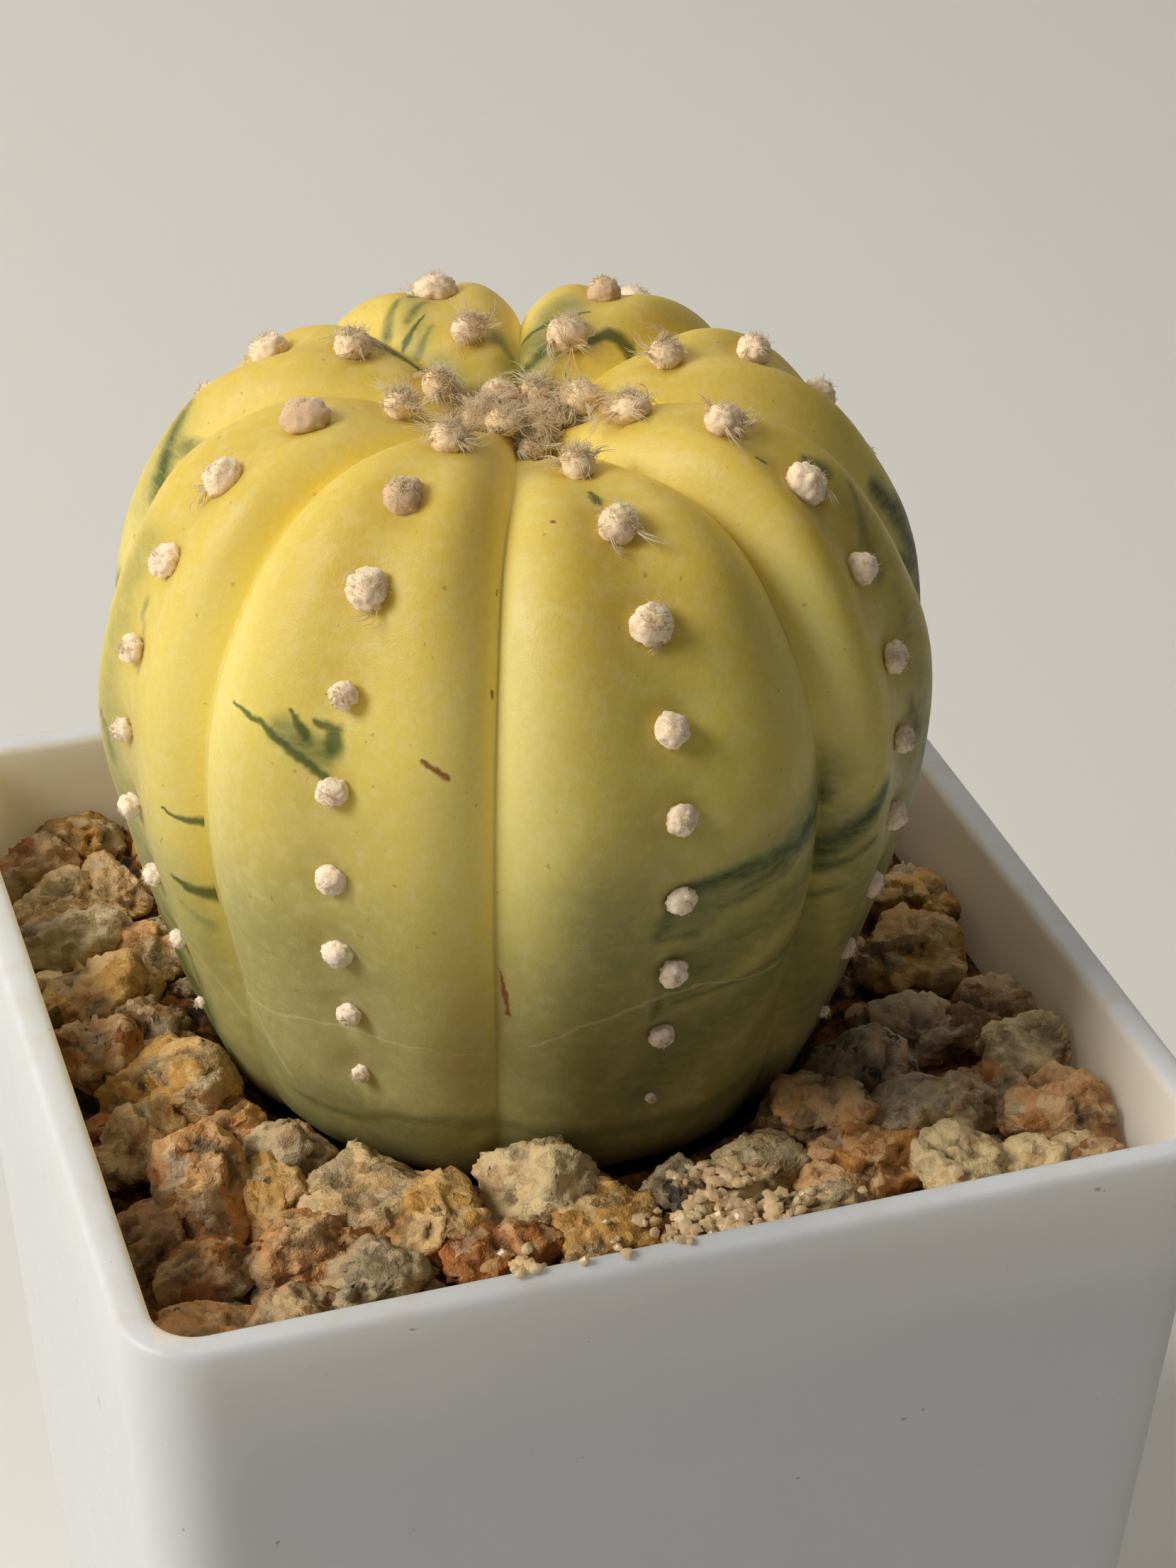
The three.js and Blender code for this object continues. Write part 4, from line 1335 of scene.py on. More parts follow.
def hair_material(settings):
    """Single wool hairs, slightly translucent and uneven in colour."""
    material, tree, shader = start_material("wool_hair", HAIR_FINISH)
    uneven = ramp(tree, speckle(tree, object_place(tree), *HAIR_NOISE), *HAIR_EDGE)
    colour = blend(tree, uneven, rgba(settings.wool), rgba(settings.hair_tip))
    tree.links.new(colour, shader.inputs["Base Color"])
    through = place(tree, "BsdfTranslucent", {"Color": colour}).outputs[0]
    mixed = place(tree, "MixShader", {0: HAIR_TRANSLUCENCY, 1: shader.outputs[0], 2: through}).outputs[0]
    tree.links.new(mixed, tree.nodes["Material Output"].inputs["Surface"])
    return material


def stone_material(settings):
    """Granite grit: patches of feldspar and quartz, rust stains, black mica, broken crisp faces."""
    material, tree, shader = start_material("granite_grit", STONE_FINISH)
    spot = vectors(tree, "ADD", object_place(tree), stored(tree, "seed", "Vector"))
    bend = vectors(tree, "SCALE", colour_noise(tree, spot, *WOBBLE_NOISE), STONE_WOBBLE)
    vector = vectors(tree, "ADD", spot, bend)
    large = use_group(tree, broken_group(), {"Vector": vector, "Scale": LARGE_FACE_SCALE})
    small = use_group(tree, broken_group(), {"Vector": vector, "Scale": SMALL_FACE_SCALE})
    patch = place(tree, "SeparateColor", {0: large.outputs["Color"]}).outputs
    crystal = place(tree, "SeparateColor", {0: small.outputs["Color"]}).outputs
    mica = plus(tree, speckle(tree, spot, *MICA_NOISE), stored(tree, "mica"))
    layers = (
        # The grit's dust colour here is painted highlight on random small faces and the fines colour
        # painted shade on others; the last layer makes the stones darker towards their hollows.
        (patch[0], settings.crystal, CRYSTAL_LAYER),
        (patch[1], settings.quartz, QUARTZ_LAYER),
        (speckle(tree, spot, *RUST_NOISE), settings.rust, RUST_LAYER),
        (crystal[0], settings.dust, FACET_HIGHLIGHT_LAYER),
        (crystal[1], settings.bed, SHADOW_LAYER),
        (mica, settings.mica, MICA_LAYER),
        (stored(tree, "relief"), settings.bed, HOLLOW_LAYER),
    )
    colour = stored(tree, "stone_paint", "Color")
    for value, shade, (low, high, most) in layers:
        colour = tint(tree, colour, ramp(tree, value, low, high), shade, most)
    grain = add_colour(tree, shader, colour, *STONE_GRAIN)
    relief = plus(tree, large.outputs["Height"], times(tree, small.outputs["Height"], SMALL_FACE_SHARE))
    add_bump(tree, shader, plus(tree, relief, times(tree, grain, STONE_GRAIN_SHARE)), *STONE_BUMP)
    add_roughness(tree, shader, patch[1], *STONE_SHEEN)
    return material


def bed_material(settings):
    """The dark fines between the stones."""
    material, tree, shader = start_material("grit_fines", MATT_FINISH)
    crumbs = ramp(tree, speckle(tree, object_place(tree), *CRUMB_NOISE), *CRUMB_EDGE)
    colour = blend(tree, crumbs, rgba(settings.bed), rgba(settings.rust))
    add_bump(tree, shader, add_colour(tree, shader, colour, *BED_GRAIN), BED_BUMP)
    return material


def sand_material(settings):
    """Translucent quartz sand."""
    material, tree, shader = start_material("quartz_sand", SAND_FINISH)
    uneven = ramp(tree, speckle(tree, object_place(tree), *SAND_NOISE), *SAND_EDGE)
    colour = tint(tree, rgba(settings.sand), uneven, settings.crystal, SAND_CRYSTAL_SHARE)
    tree.links.new(colour, shader.inputs["Base Color"])
    return material


def inside_pot(tree, vector):
    """1 on the inner faces of the pot's walls and 0 outside."""
    parts = place(tree, "SeparateXYZ", {0: vector}).outputs
    away = calc(tree, "MAXIMUM", calc(tree, "ABSOLUTE", parts["X"]), calc(tree, "ABSOLUTE", parts["Y"]))
    slope = (RIM_HALF - BASE_HALF) / POT_HEIGHT
    inputs = {0: parts["Z"], 1: slope, 2: BASE_HALF * MM}
    surface = place(tree, "Math", inputs, operation="MULTIPLY_ADD").outputs[0]
    return ramp(tree, minus(tree, surface, away), *INNER_LIGHT_EDGE)


def plastic_material(settings):
    """White moulded plastic: satin, faintly uneven, with a little dust, and painted warm light on the
    inner faces of the walls.
    """
    material, tree, shader = start_material("white_plastic", PLASTIC_FINISH)
    vector = object_place(tree)
    smudge = ramp(tree, speckle(tree, vector, *SMUDGE_NOISE), *SMUDGE_EDGE)
    colour = tint(tree, rgba(settings.plastic), smudge, settings.dust, SMUDGE_SHARE)
    # Painted light: warm light reflected from the grit and passing through the wall, painted on the inner
    # faces.
    colour = tint(tree, colour, inside_pot(tree, vector), settings.inner, INNER_LIGHT_SHARE)
    specks = ramp(tree, speckle(tree, vector, *SPECK_NOISE), *SPECK_EDGE)
    colour = tint(tree, colour, specks, settings.speck, SPECK_SHARE)
    rim = times(tree, ramp(tree, height_of(tree, vector), *RIM_DUST_LEVELS), RIM_DUST_SHARE)
    dust = times(tree, rim, ramp(tree, speckle(tree, vector, *DUST_NOISE), *DUST_EDGE))
    colour = tint(tree, colour, dust, settings.dust)
    grain = add_colour(tree, shader, colour, *PLASTIC_GRAIN)
    add_roughness(tree, shader, speckle(tree, vector, *PLASTIC_SHEEN_NOISE), *PLASTIC_SHEEN)
    add_bump(tree, shader, grain, *PLASTIC_BUMP)
    return material


def soil_material(settings):
    """Dark potting mix with lighter fibres."""
    material, tree, shader = start_material("potting_mix", MATT_FINISH)
    drawn = stretched(tree, object_place(tree), FIBRE_STRETCH)
    fibres = ramp(tree, speckle(tree, drawn, *FIBRE_NOISE), *FIBRE_EDGE)
    colour = blend(tree, fibres, rgba(settings.soil), rgba(settings.bed))
    add_bump(tree, shader, add_colour(tree, shader, colour, *SOIL_GRAIN), SOIL_BUMP)
    return material


# The pot

def square_ring(half, radius, z):
    """The points of a square with rounded corners at one height, anticlockwise seen from above."""
    ring = []
    for corner in range(4):
        start = corner * QUARTER
        reach = (half - radius) * math.sqrt(2)
        centre_x = reach * math.cos(start + math.pi / 4)
        centre_y = reach * math.sin(start + math.pi / 4)
        for step in range(CORNER_STEPS + 1):
            angle = start + step / CORNER_STEPS * QUARTER
            ring.append((centre_x + radius * math.cos(angle), centre_y + radius * math.sin(angle), z))
    return ring


def pot_half(z):
    """Half the pot's width at a height."""
    return lerp(BASE_HALF, RIM_HALF, z / POT_HEIGHT)


def pot_rings():
    """The pot's rings from its underside over the rim to its floor."""
    inner = CORNER_RADIUS - WALL
    rings = []
    for step in range(EDGE_STEPS + 1):
        angle = step / EDGE_STEPS * QUARTER
        z = EDGE_ROUND * (1 - math.cos(angle))
        rings.append(square_ring(pot_half(z) - EDGE_ROUND * (1 - math.sin(angle)), CORNER_RADIUS, z))
    for z in np.linspace(EDGE_ROUND, POT_HEIGHT - EDGE_ROUND, WALL_ROWS)[1:-1]:
        rings.append(square_ring(pot_half(z), CORNER_RADIUS, z))
    for step in range(EDGE_STEPS + 1):
        angle = step / EDGE_STEPS * QUARTER
        z = POT_HEIGHT - EDGE_ROUND * (1 - math.sin(angle))
        back = EDGE_ROUND * (1 - math.cos(angle))
        rings.append(square_ring(pot_half(z) - back, CORNER_RADIUS - back, z))
    for step in range(EDGE_STEPS + 1):
        angle = step / EDGE_STEPS * QUARTER
        z = POT_HEIGHT - EDGE_ROUND * (1 - math.cos(angle))
        back = EDGE_ROUND * (1 - math.sin(angle))
        rings.append(square_ring(pot_half(z) - WALL + back, inner + back, z))
    for z in np.linspace(POT_HEIGHT - EDGE_ROUND, FLOOR + FLOOR_FILLET, WALL_ROWS)[1:]:
        rings.append(square_ring(pot_half(z) - WALL, inner, z))
    rings.append(square_ring(pot_half(FLOOR) - WALL - FLOOR_FILLET, inner, FLOOR))
    return rings


def cut_drains(piece):
    """Cuts the round drain holes through the pot's floor."""
    cutter_mesh = bpy.data.meshes.new("drain_cutter")
    cutter = bpy.data.objects.new("drain_cutter", cutter_mesh)
    bpy.context.scene.collection.objects.link(cutter)
    shape = bmesh.new()
    for side_x, side_y in DRAIN_PLACES:
        centre = Vector((side_x * DRAIN_SPACING, side_y * DRAIN_SPACING, 0)) * MM
        bmesh.ops.create_cone(
            shape,
            cap_ends=True,
            segments=DRAIN_SIDES,
            radius1=DRAIN_RADIUS * MM,
            radius2=DRAIN_RADIUS * MM,
            depth=FLOOR * 4 * MM,
            matrix=Matrix.Translation(centre),
        )
    shape.to_mesh(cutter_mesh)
    shape.free()
    cut = piece.modifiers.new("drains", "BOOLEAN")
    cut.operation = "DIFFERENCE"
    cut.object = cutter
    apply_modifiers(piece)
    bpy.data.objects.remove(cutter)


def apply_modifiers(piece):
    """Replaces a piece's mesh by the one its modifiers make."""
    graph = bpy.context.evaluated_depsgraph_get()
    mesh = bpy.data.meshes.new_from_object(piece.evaluated_get(graph))
    piece.modifiers.clear()
    piece.data = mesh


# The grit

def stone_places():
    """The places of the stones and the level of each one's top, as in the part's own rule."""
    draw = seeded_random(SEED)
    places = [list(stone) for stone in STONES]
    reach = RIM_HALF - WALL - WALL_MARGIN
    for filler_size in FILLER_SIZES:
        for _ in range(FILLER_TRIES):
            x = (next(draw) * 2 - 1) * reach
            y = (next(draw) * 2 - 1) * reach
            size = filler_size * (1 + (next(draw) * 2 - 1) * FILLER_SPREAD)
            turn = next(draw) * 180
            clear = math.hypot(x, y - AXIS_Y) > PLANT_RADIUS + size * PLANT_MARGIN
            if clear and all(
                math.hypot(p[0] - x, p[1] - y) > ((p[2] + p[3]) / 2 + size) * FILLER_CROWDING
                for p in places
            ):
                colour = FILLER_PAINTS[len(places) % len(FILLER_PAINTS)]
                places.append([x, y, size, size * FILLER_WIDTH, turn, colour])
    stones = []
    for x, y, length, width, turn, colour in places:
        height = min(length, width) * STONE_FLATNESS
        level = STONE_TOP + (next(draw) * 2 - 1) * STONE_TOP_SPREAD
        for _ in range(STONE_POINTS * 2):
            next(draw)
        top = min(level, BED_TOP - STONE_ROOT + height)
        stones.append((x, y, length, width, height, turn, top, colour))
    return stones


def chip_places(stones):
    """Small chips in the gaps between the stones."""
    draw = seeded_random(SEED + 1)
    reach = RIM_HALF - WALL - CHIP_WALL_MARGIN
    chips = []
    for _ in range(CHIP_TRIES):
        x = (next(draw) * 2 - 1) * reach
        y = (next(draw) * 2 - 1) * reach
        size = CHIP_SIZE * draw_between(draw, *CHIP_SIZES)
        turn = next(draw) * 180
        level = draw_between(draw, BED_TOP + CHIP_SINK, CHIP_LEVELS)
        tone = FILLER_PAINTS[int(next(draw) * len(FILLER_PAINTS))]
        if math.hypot(x, y - AXIS_Y) < PLANT_RADIUS + CHIP_PLANT_MARGIN:
            continue
        crowded = any(math.hypot(s[0] - x, s[1] - y) < (s[2] + s[3]) * CHIP_CROWDING for s in stones)
        touching = any(math.hypot(c[0] - x, c[1] - y) < (c[2] + size) * CHIP_SPACING for c in chips)
        if not crowded and not touching:
            width, height = (size * share for share in CHIP_SHAPE)
            chips.append((x, y, size, width, height, turn, level, tone))
    return chips


def make_stone(directions, seed, stone, relief):
    """An angular broken stone: a block cut by random planes, then roughened."""
    x, y, length, width, height, turn, top, _ = stone
    source = np.random.default_rng(seed)
    normals = source.normal(size=(FACET_COUNT, 3))
    normals /= np.linalg.norm(normals, axis=1, keepdims=True)
    depths = source.uniform(FACET_NEAR, FACET_FAR, FACET_COUNT)
    facing = directions @ normals.T
    clear = np.maximum(facing, FACET_GRAZING)
    reach = np.where(facing > FACET_GRAZING, depths / clear, FACET_LIMIT)
    reach = np.minimum(reach, FACET_LIMIT)
    sharp = -np.log(np.exp(-FACET_SHARPNESS * reach).sum(axis=1)) / FACET_SHARPNESS
    points = directions * sharp[:, None]
    points /= np.abs(points).max(axis=0)
    points = points * np.array([length, width, height]) / 2
    offset = Vector(source.uniform(-STONE_NOISE_REACH, STONE_NOISE_REACH, 3))
    push = np.empty(len(points))
    for i, point in enumerate(points):
        spot = Vector(point) + offset
        rough = noise.fractal(spot * ROUGH_SCALE, *FRACTAL, 3) * ROUGH_HEIGHT
        small = broken_face(spot, SMALL_FACE) * SMALL_FACE_HEIGHT
        push[i] = broken_face(spot, LARGE_FACE) + small + rough
    points = points + directions * (push * relief)[:, None]
    angle = math.radians(turn)
    spun_x = points[:, 0] * math.cos(angle) - points[:, 1] * math.sin(angle)
    spun_y = points[:, 0] * math.sin(angle) + points[:, 1] * math.cos(angle)
    spun_z = points[:, 2] + top - height / 2
    return keep_inside(np.stack([spun_x + x, spun_y + y, spun_z], axis=1)), push


def keep_inside(points):
    """Pushes points of the grit clear of the pot's wall and of the plant."""
    limit = RIM_HALF - WALL - STONE_WALL_GAP - (POT_HEIGHT - points[:, 2]) * STONE_WALL_TAPER
    points[:, 0] = np.clip(points[:, 0], -limit, limit)
    points[:, 1] = np.clip(points[:, 1], -limit, limit)
    away = points[:, :2] - [0, AXIS_Y]
    distance = np.linalg.norm(away, axis=1)
    bare = np.interp(points[:, 2], PLANT_LEVELS, PLANT_WIDTHS)
    push = np.maximum(bare / np.maximum(distance, 1e-6), 1)
    points[:, :2] = [0, AXIS_Y] + away * push[:, None]
    return points


def make_bed(count):
    """A crumbly square bed with the plant's hole, from below its surface up and over it."""
    half = RIM_HALF - WALL - BED_WALL_GAP
    low = BED_TOP - BED_DEPTH
    rings = []
    angles = np.linspace(0, TURN, count, endpoint=False)
    cosine, sine = np.cos(angles), np.sin(angles)
    to_side = half / np.maximum(np.abs(cosine), np.abs(sine))
    corner = np.minimum(to_side, half * BED_CORNER)
    for level in (low, BED_TOP - BED_EDGE, BED_TOP):
        rings.append(np.stack([cosine * corner, sine * corner, np.full(count, level)], axis=1))
    inner_radius = np.interp(BED_TOP, PLANT_LEVELS, PLANT_WIDTHS)
    hole = np.stack([cosine * inner_radius, AXIS_Y + sine * inner_radius], axis=1)
    outer = rings[-1][:, :2]
    for share in np.linspace(0, 1, BED_RINGS)[1:]:
        flat = lerp(outer, hole, share)
        spots = [Vector((a * CRUMBLE_SCALE, b * CRUMBLE_SCALE, 3.0)) for a, b in flat]
        lift = [noise.fractal(spot, *FRACTAL, 4) for spot in spots]
        z = BED_TOP + np.array(lift) * BED_CRUMBLE * (share < 1)
        rings.append(np.column_stack([flat, z]))
    inner_low = np.interp(low, PLANT_LEVELS, PLANT_WIDTHS)
    foot = np.stack([cosine * inner_low, AXIS_Y + sine * inner_low, np.full(count, low)], axis=1)
    rings.append(foot)
    rows = len(rings)
    faces = []
    for row in range(rows):
        below = (row + 1) % rows
        for column in range(count):
            after = (column + 1) % count
            a, b = row * count + column, row * count + after
            faces.append((a, b, below * count + after, below * count + column))
    return np.concatenate(rings), faces


def add_stones(name, group, places, count, relief, material):
    """Makes one piece of stones with what varies from stone to stone, and returns its shape."""
    directions, sphere_faces = cube_sphere(count)
    source = np.random.default_rng(SEED + count)
    parts, paints, seeds, micas, hollows = [], [], [], [], []
    for number, stone in enumerate(places):
        shape, push = make_stone(directions, [SEED, group, number], stone, relief)
        parts.append((shape, sphere_faces))
        hollows.append(push)
        tone = np.array(paint(stone[-1])) * source.uniform(*STONE_TONES)
        paints.append(np.tile(tone, (len(directions), 1)))
        seeds.append(np.tile(source.uniform(-1, 1, 3), (len(directions), 1)))
        mica = source.uniform(*MICA_SPREAD) + (PALE_STONE_MICA if stone[-1] in (CREAM, GREY) else 0)
        micas.append(np.full(len(directions), mica))
    points, faces = gather(parts)
    piece = add_piece(name, points, faces, material, "gravel")
    add_paint(piece, "stone_paint", np.concatenate(paints))
    add_paint(piece, "seed", np.concatenate(seeds))
    add_mask(piece, "mica", np.concatenate(micas))
    add_mask(piece, "relief", np.concatenate(hollows))
    return points, faces


def add_sand(shape, material):
    """Makes the piece of sand that lies on the shape of the stones and on the rim."""
    surface = BVHTree.FromPolygons(shape[0].tolist(), shape[1])
    directions, sphere_faces = cube_sphere(SAND_FACES)
    source = np.random.default_rng(SEED)
    parts = []
    for x, y, z, radius in make_sand(surface):
        grain = directions * radius * source.uniform(*SAND_STRETCH, 3) * SAND_SQUASH
        corners = 1 + source.uniform(*SAND_CORNERS, len(directions))
        parts.append((grain * corners[:, None] + [x, y, z], sphere_faces))
    points, faces = gather(parts)
    add_piece("quartz_sand", points, faces, material, None, False)


def make_sand(surface):
    """Sand grains lying on the stones and the rim: centres and radii."""
    source = np.random.default_rng(SEED)
    centres = []
    for x, y, spread_x, spread_y, count in SAND_SPOTS:
        for _ in range(count):
            spot = source.normal(size=2) * 0.5
            radius = SAND_RADII[0] + SAND_RADII[1] * source.uniform() ** 2
            place_x, place_y = x + spot[0] * spread_x, y + spot[1] * spread_y
            above = Vector((place_x, place_y, POT_HEIGHT + ABOVE_BED))
            hit = surface.ray_cast(above, Vector((0, 0, -1)))
            level = hit[0].z if hit[0] is not None else BED_TOP
            if not SAND_BED - 1 < level < SAND_TOP:
                continue
            level = max(level, SAND_BED + source.uniform(-SAND_UNEVEN, SAND_UNEVEN))
            centres.append((place_x, place_y, level + radius * SAND_REST, radius))
    for x, y, radius in RIM_GRAINS:
        centres.append((x, y, POT_HEIGHT + radius * RIM_REST, radius))
    return centres


# The plant

def make_skin():
    """The plant's body and root: points, poles, faces, ribs, places across them and stroke places."""
    side = np.linspace(-1, 1, SKIN_COLUMNS, endpoint=False)
    across = lerp(side, np.sin(side * QUARTER), CREASE_CLUSTERING)
    foot = along_at_height(FOOT_LEVEL)
    alongs = np.concatenate([
        np.linspace(0, foot, SKIN_ROWS + 1)[1:],
        np.linspace(foot, CREST_LENGTH, ROOT_ROWS + 2)[1:-1],
    ])[::-1]
    ribs = np.tile(np.repeat(np.arange(RIB_COUNT), SKIN_COLUMNS), len(alongs))
    places = np.tile(across, RIB_COUNT * len(alongs))
    runs = np.repeat(alongs, RIB_COUNT * SKIN_COLUMNS)
    radius = crest_at(runs)[0]
    sideways = places * radius * math.pi / RIB_COUNT
    relief = np.zeros(len(runs))
    for rib, along, _, _, _ in areole_places():
        away = np.hypot(runs - along, sideways)
        near = (ribs == rib) * (1 - smoothstep(away, *NOTCH_REACH))
        relief -= NOTCH_DEPTH * near
    smooth_points = skin_point(runs, ribs, places)
    uneven = [noise.noise(Vector(point) * UNEVEN_SCALE) for point in smooth_points]
    fade = 1 - smoothstep(np.abs(places), *UNEVEN_EDGE)
    relief += np.array(uneven) * SKIN_UNEVENNESS * fade * smoothstep(radius, *UNEVEN_RADII)
    points = skin_point(runs, ribs, places, relief)
    poles = np.array([skin_point(CREST_LENGTH, 0, 0.0), skin_point(0.0, 0, 0.0)])
    count = len(points)
    faces = loft_faces(len(alongs), RIB_COUNT * SKIN_COLUMNS, count, count + 1)
    spots = np.stack([sideways, runs, ribs * RIB_SPACING], axis=1)
    spots = np.concatenate([spots, [[0, CREST_LENGTH, 0], [0, 0, 0]]])
    return points, poles, faces, ribs, places, spots


def zone(away, z, limits):
    """A zone that comes in sideways and downwards between its limits."""
    return smoothstep(away, *limits[0]) * smoothstep(-z, *limits[1])


def shade_mask(points):
    """Where the skin turns grey-green, partly real colour and partly painted shade: the plant's left and
    right sides and its foot, with painted shade on the right side away from the light and at the foot.
    """
    x, y, z = points.T
    right_side = zone(x, z, RIGHT_SHADE)
    left_side = zone(-x, z, LEFT_SHADE) * LEFT_SHADE_SHARE
    rear = zone(y - AXIS_Y, z, REAR_SHADE) * REAR_SHADE_SHARE
    foot = smoothstep(-z, *FOOT_SHADE) * FOOT_SHADE_SHARE
    return np.clip(np.maximum(np.maximum(right_side, left_side), rear) + foot, 0, 1)


def low_left_light_mask(points):
    """Where painted light makes the low flesh paler: the plant's lower left."""
    x, _, z = points.T
    return zone(-x, z, LOW_LEFT_LIGHT_ZONE)


def cushion_radius(rib, order):
    """The radius of an areole's cushion."""
    if (rib, order) in TINY_AREOLES:
        return TINY_CUSHION
    return CUSHION_SIZES[min(order, len(CUSHION_SIZES) - 1)]


def youth(order):
    """How fresh an areole's wool is, from 1 in the crown to 0."""
    return max(0.0, 1 - order / YOUNG_AREOLES)


def wool_places():
    """Every wool cushion, the buds in the crown last: rib, order, radius, middle and outward direction."""
    for rib, _, centre, outward, order in areole_places():
        yield rib, order, cushion_radius(rib, order), centre, outward
    for rib, along in enumerate(BUD_PLACES):
        centre = skin_point(along, rib, 0.0)
        yield rib, 0, BUD_RADIUS, centre + [0, 0, BUD_RADIUS / 2], np.array([0.0, 0.0, 1.0])
    for number in range(MIDDLE_BUDS):
        angle = TURN * number / MIDDLE_BUDS
        x, y = MIDDLE_BUD_PLACE * math.cos(angle), AXIS_Y + MIDDLE_BUD_PLACE * math.sin(angle)
        yield number, 0, MIDDLE_BUD_RADIUS, np.array([x, y, CROWN_LEVEL]), np.array([0.0, 0.0, 1.0])


def make_cushions(directions, directions_faces):
    """The wool cushions of the areoles, and each point's age from 0, fresh, to 1, old."""
    parts = []
    ages = []
    tans = []
    source = np.random.default_rng(SEED)
    for rib, order, size, centre, outward in wool_places():
        radius = size * source.uniform(*CUSHION_SPREAD)
        age = min(order / OLD_AREOLES, 1.0)
        smooth = (rib, order) in SUEDE_AREOLES
        turn = Vector((0, 0, 1)).rotation_difference(Vector(outward)).to_matrix()
        spin = Matrix.Rotation(source.uniform(0, TURN), 3, "Z")
        across = source.uniform(*CUSHION_ACROSS)
        along = source.uniform(*CUSHION_ALONG)
        stretch = np.array([across, along, CUSHION_HEIGHT])
        offset = Vector(source.uniform(-WOOL_NOISE_REACH, WOOL_NOISE_REACH, 3))
        crumple = SUEDE_CRUMPLE if smooth else lerp(OLD_CRUMPLE, YOUNG_CRUMPLE, youth(order))
        lumps = np.array([
            sum(noise.noise(Vector(d) * scale + offset) * height for scale, height in LUMPS)
            for d in directions
        ])
        shape = directions * stretch * (radius * (1 + lumps * crumple))[:, None]
        spun = shape @ np.array(turn @ spin).T
        parts.append((spun + centre + outward * radius * CUSHION_LIFT, directions_faces))
        ages.append(np.full(len(directions), age))
        tans.append(np.full(len(directions), float(smooth)))
    points, faces = gather(parts)
    return points, faces, np.concatenate(ages), np.concatenate(tans)


def grow_hairs(roots, headings, lengths, curl, droop, steps, source, bundle=1):
    """Curly hair paths from roots along headings, which bundles share: strands x steps x 3."""
    paths = [roots]
    heading = headings / np.linalg.norm(headings, axis=1, keepdims=True)
    own = 1.0 if bundle == 1 else OWN_TURN
    swirl = source.normal(size=roots.shape) * own
    for _ in range(steps - 1):
        shared = np.repeat(source.normal(size=(len(roots) // bundle, 3)), bundle, axis=0) * (1 - own)
        swirl = swirl * TURN_KEPT + (shared + source.normal(size=roots.shape) * own) * TURN_NEW
        heading = heading + swirl * curl
        heading[:, 2] -= droop
        heading /= np.linalg.norm(heading, axis=1, keepdims=True)
        paths.append(paths[-1] + heading * (lengths / (steps - 1))[:, None])
    grown = np.stack(paths, axis=1)
    grown[..., 2] = np.minimum(grown[..., 2], HAIR_LIMIT)
    return grown


def make_fuzz(fresh):
    """The short wool on the young cushions, or the nap on the old ones."""
    source = np.random.default_rng(SEED + 2)
    roots, headings, lengths = [], [], []
    for rib, order, radius, centre, outward in wool_places():
        young = youth(order)
        if fresh != (young > 0):
            continue
        smooth = (rib, order) in SUEDE_AREOLES
        count = int(lerp(NAP_HAIRS, FUZZ_HAIRS, young))
        ways = source.normal(size=(count, 3)) * FUZZ_SPREAD + outward
        ways /= np.linalg.norm(ways, axis=1, keepdims=True)
        roots.append(centre + ways * radius * FUZZ_ROOT + outward * radius * FUZZ_LIFT)
        stray = source.normal(size=(count, 3)) * FUZZ_STRAY
        headings.append(ways * lerp(*FUZZ_STANDING, young) + stray)
        longest = max(lerp(*FUZZ_LENGTHS, young) - order * NAP_SHORTENING, SHORTEST_NAP)
        if smooth:
            longest = SUEDE_LENGTH
        lengths.append(source.uniform(*FUZZ_SHARES, count) * longest)
    steps = FUZZ_STEPS if fresh else NAP_STEPS
    roots, headings, lengths = (np.concatenate(rows) for rows in (roots, headings, lengths))
    paths = grow_hairs(roots, headings, lengths, FUZZ_CURL, FUZZ_DROOP, steps, source)
    return make_strands(paths, source.uniform(*FUZZ_RADII, len(paths)))


def make_wisps():
    """Clumps of longer hairs that droop from the young cushions."""
    source = np.random.default_rng(SEED + 4)
    roots, headings, lengths = [], [], []
    for rib, order, radius, centre, outward in wool_places():
        young = youth(order)
        if not young or (rib, order) in SUEDE_AREOLES:
            continue
        for _ in range(round(WISP_CLUMPS * young**WISP_FADE)):
            way = source.normal(size=3) * WISP_SPREAD + WISP_FALL
            way -= outward * np.dot(way, outward)
            way /= np.linalg.norm(way)
            start = centre + way * radius * WISP_ROOT + outward * radius * WISP_LIFT
            roots.append(start + source.normal(size=(WISP_HAIRS, 3)) * WISP_ROOT_STRAY)
            stray = source.normal(size=(WISP_HAIRS, 3)) * WISP_STRAY
            headings.append(way + outward * WISP_OUTWARD + stray)
            shares = source.uniform(*WISP_SHARES, WISP_HAIRS)
            lengths.append(shares * source.uniform(*WISP_LENGTHS))
    roots, headings, lengths = (np.concatenate(rows) for rows in (roots, headings, lengths))
    bends = (WISP_CURL, WISP_DROOP)
    paths = grow_hairs(roots, headings, lengths, *bends, CROWN_STEPS, source, WISP_HAIRS)
    return make_strands(paths, source.uniform(*WISP_RADII, len(paths)))


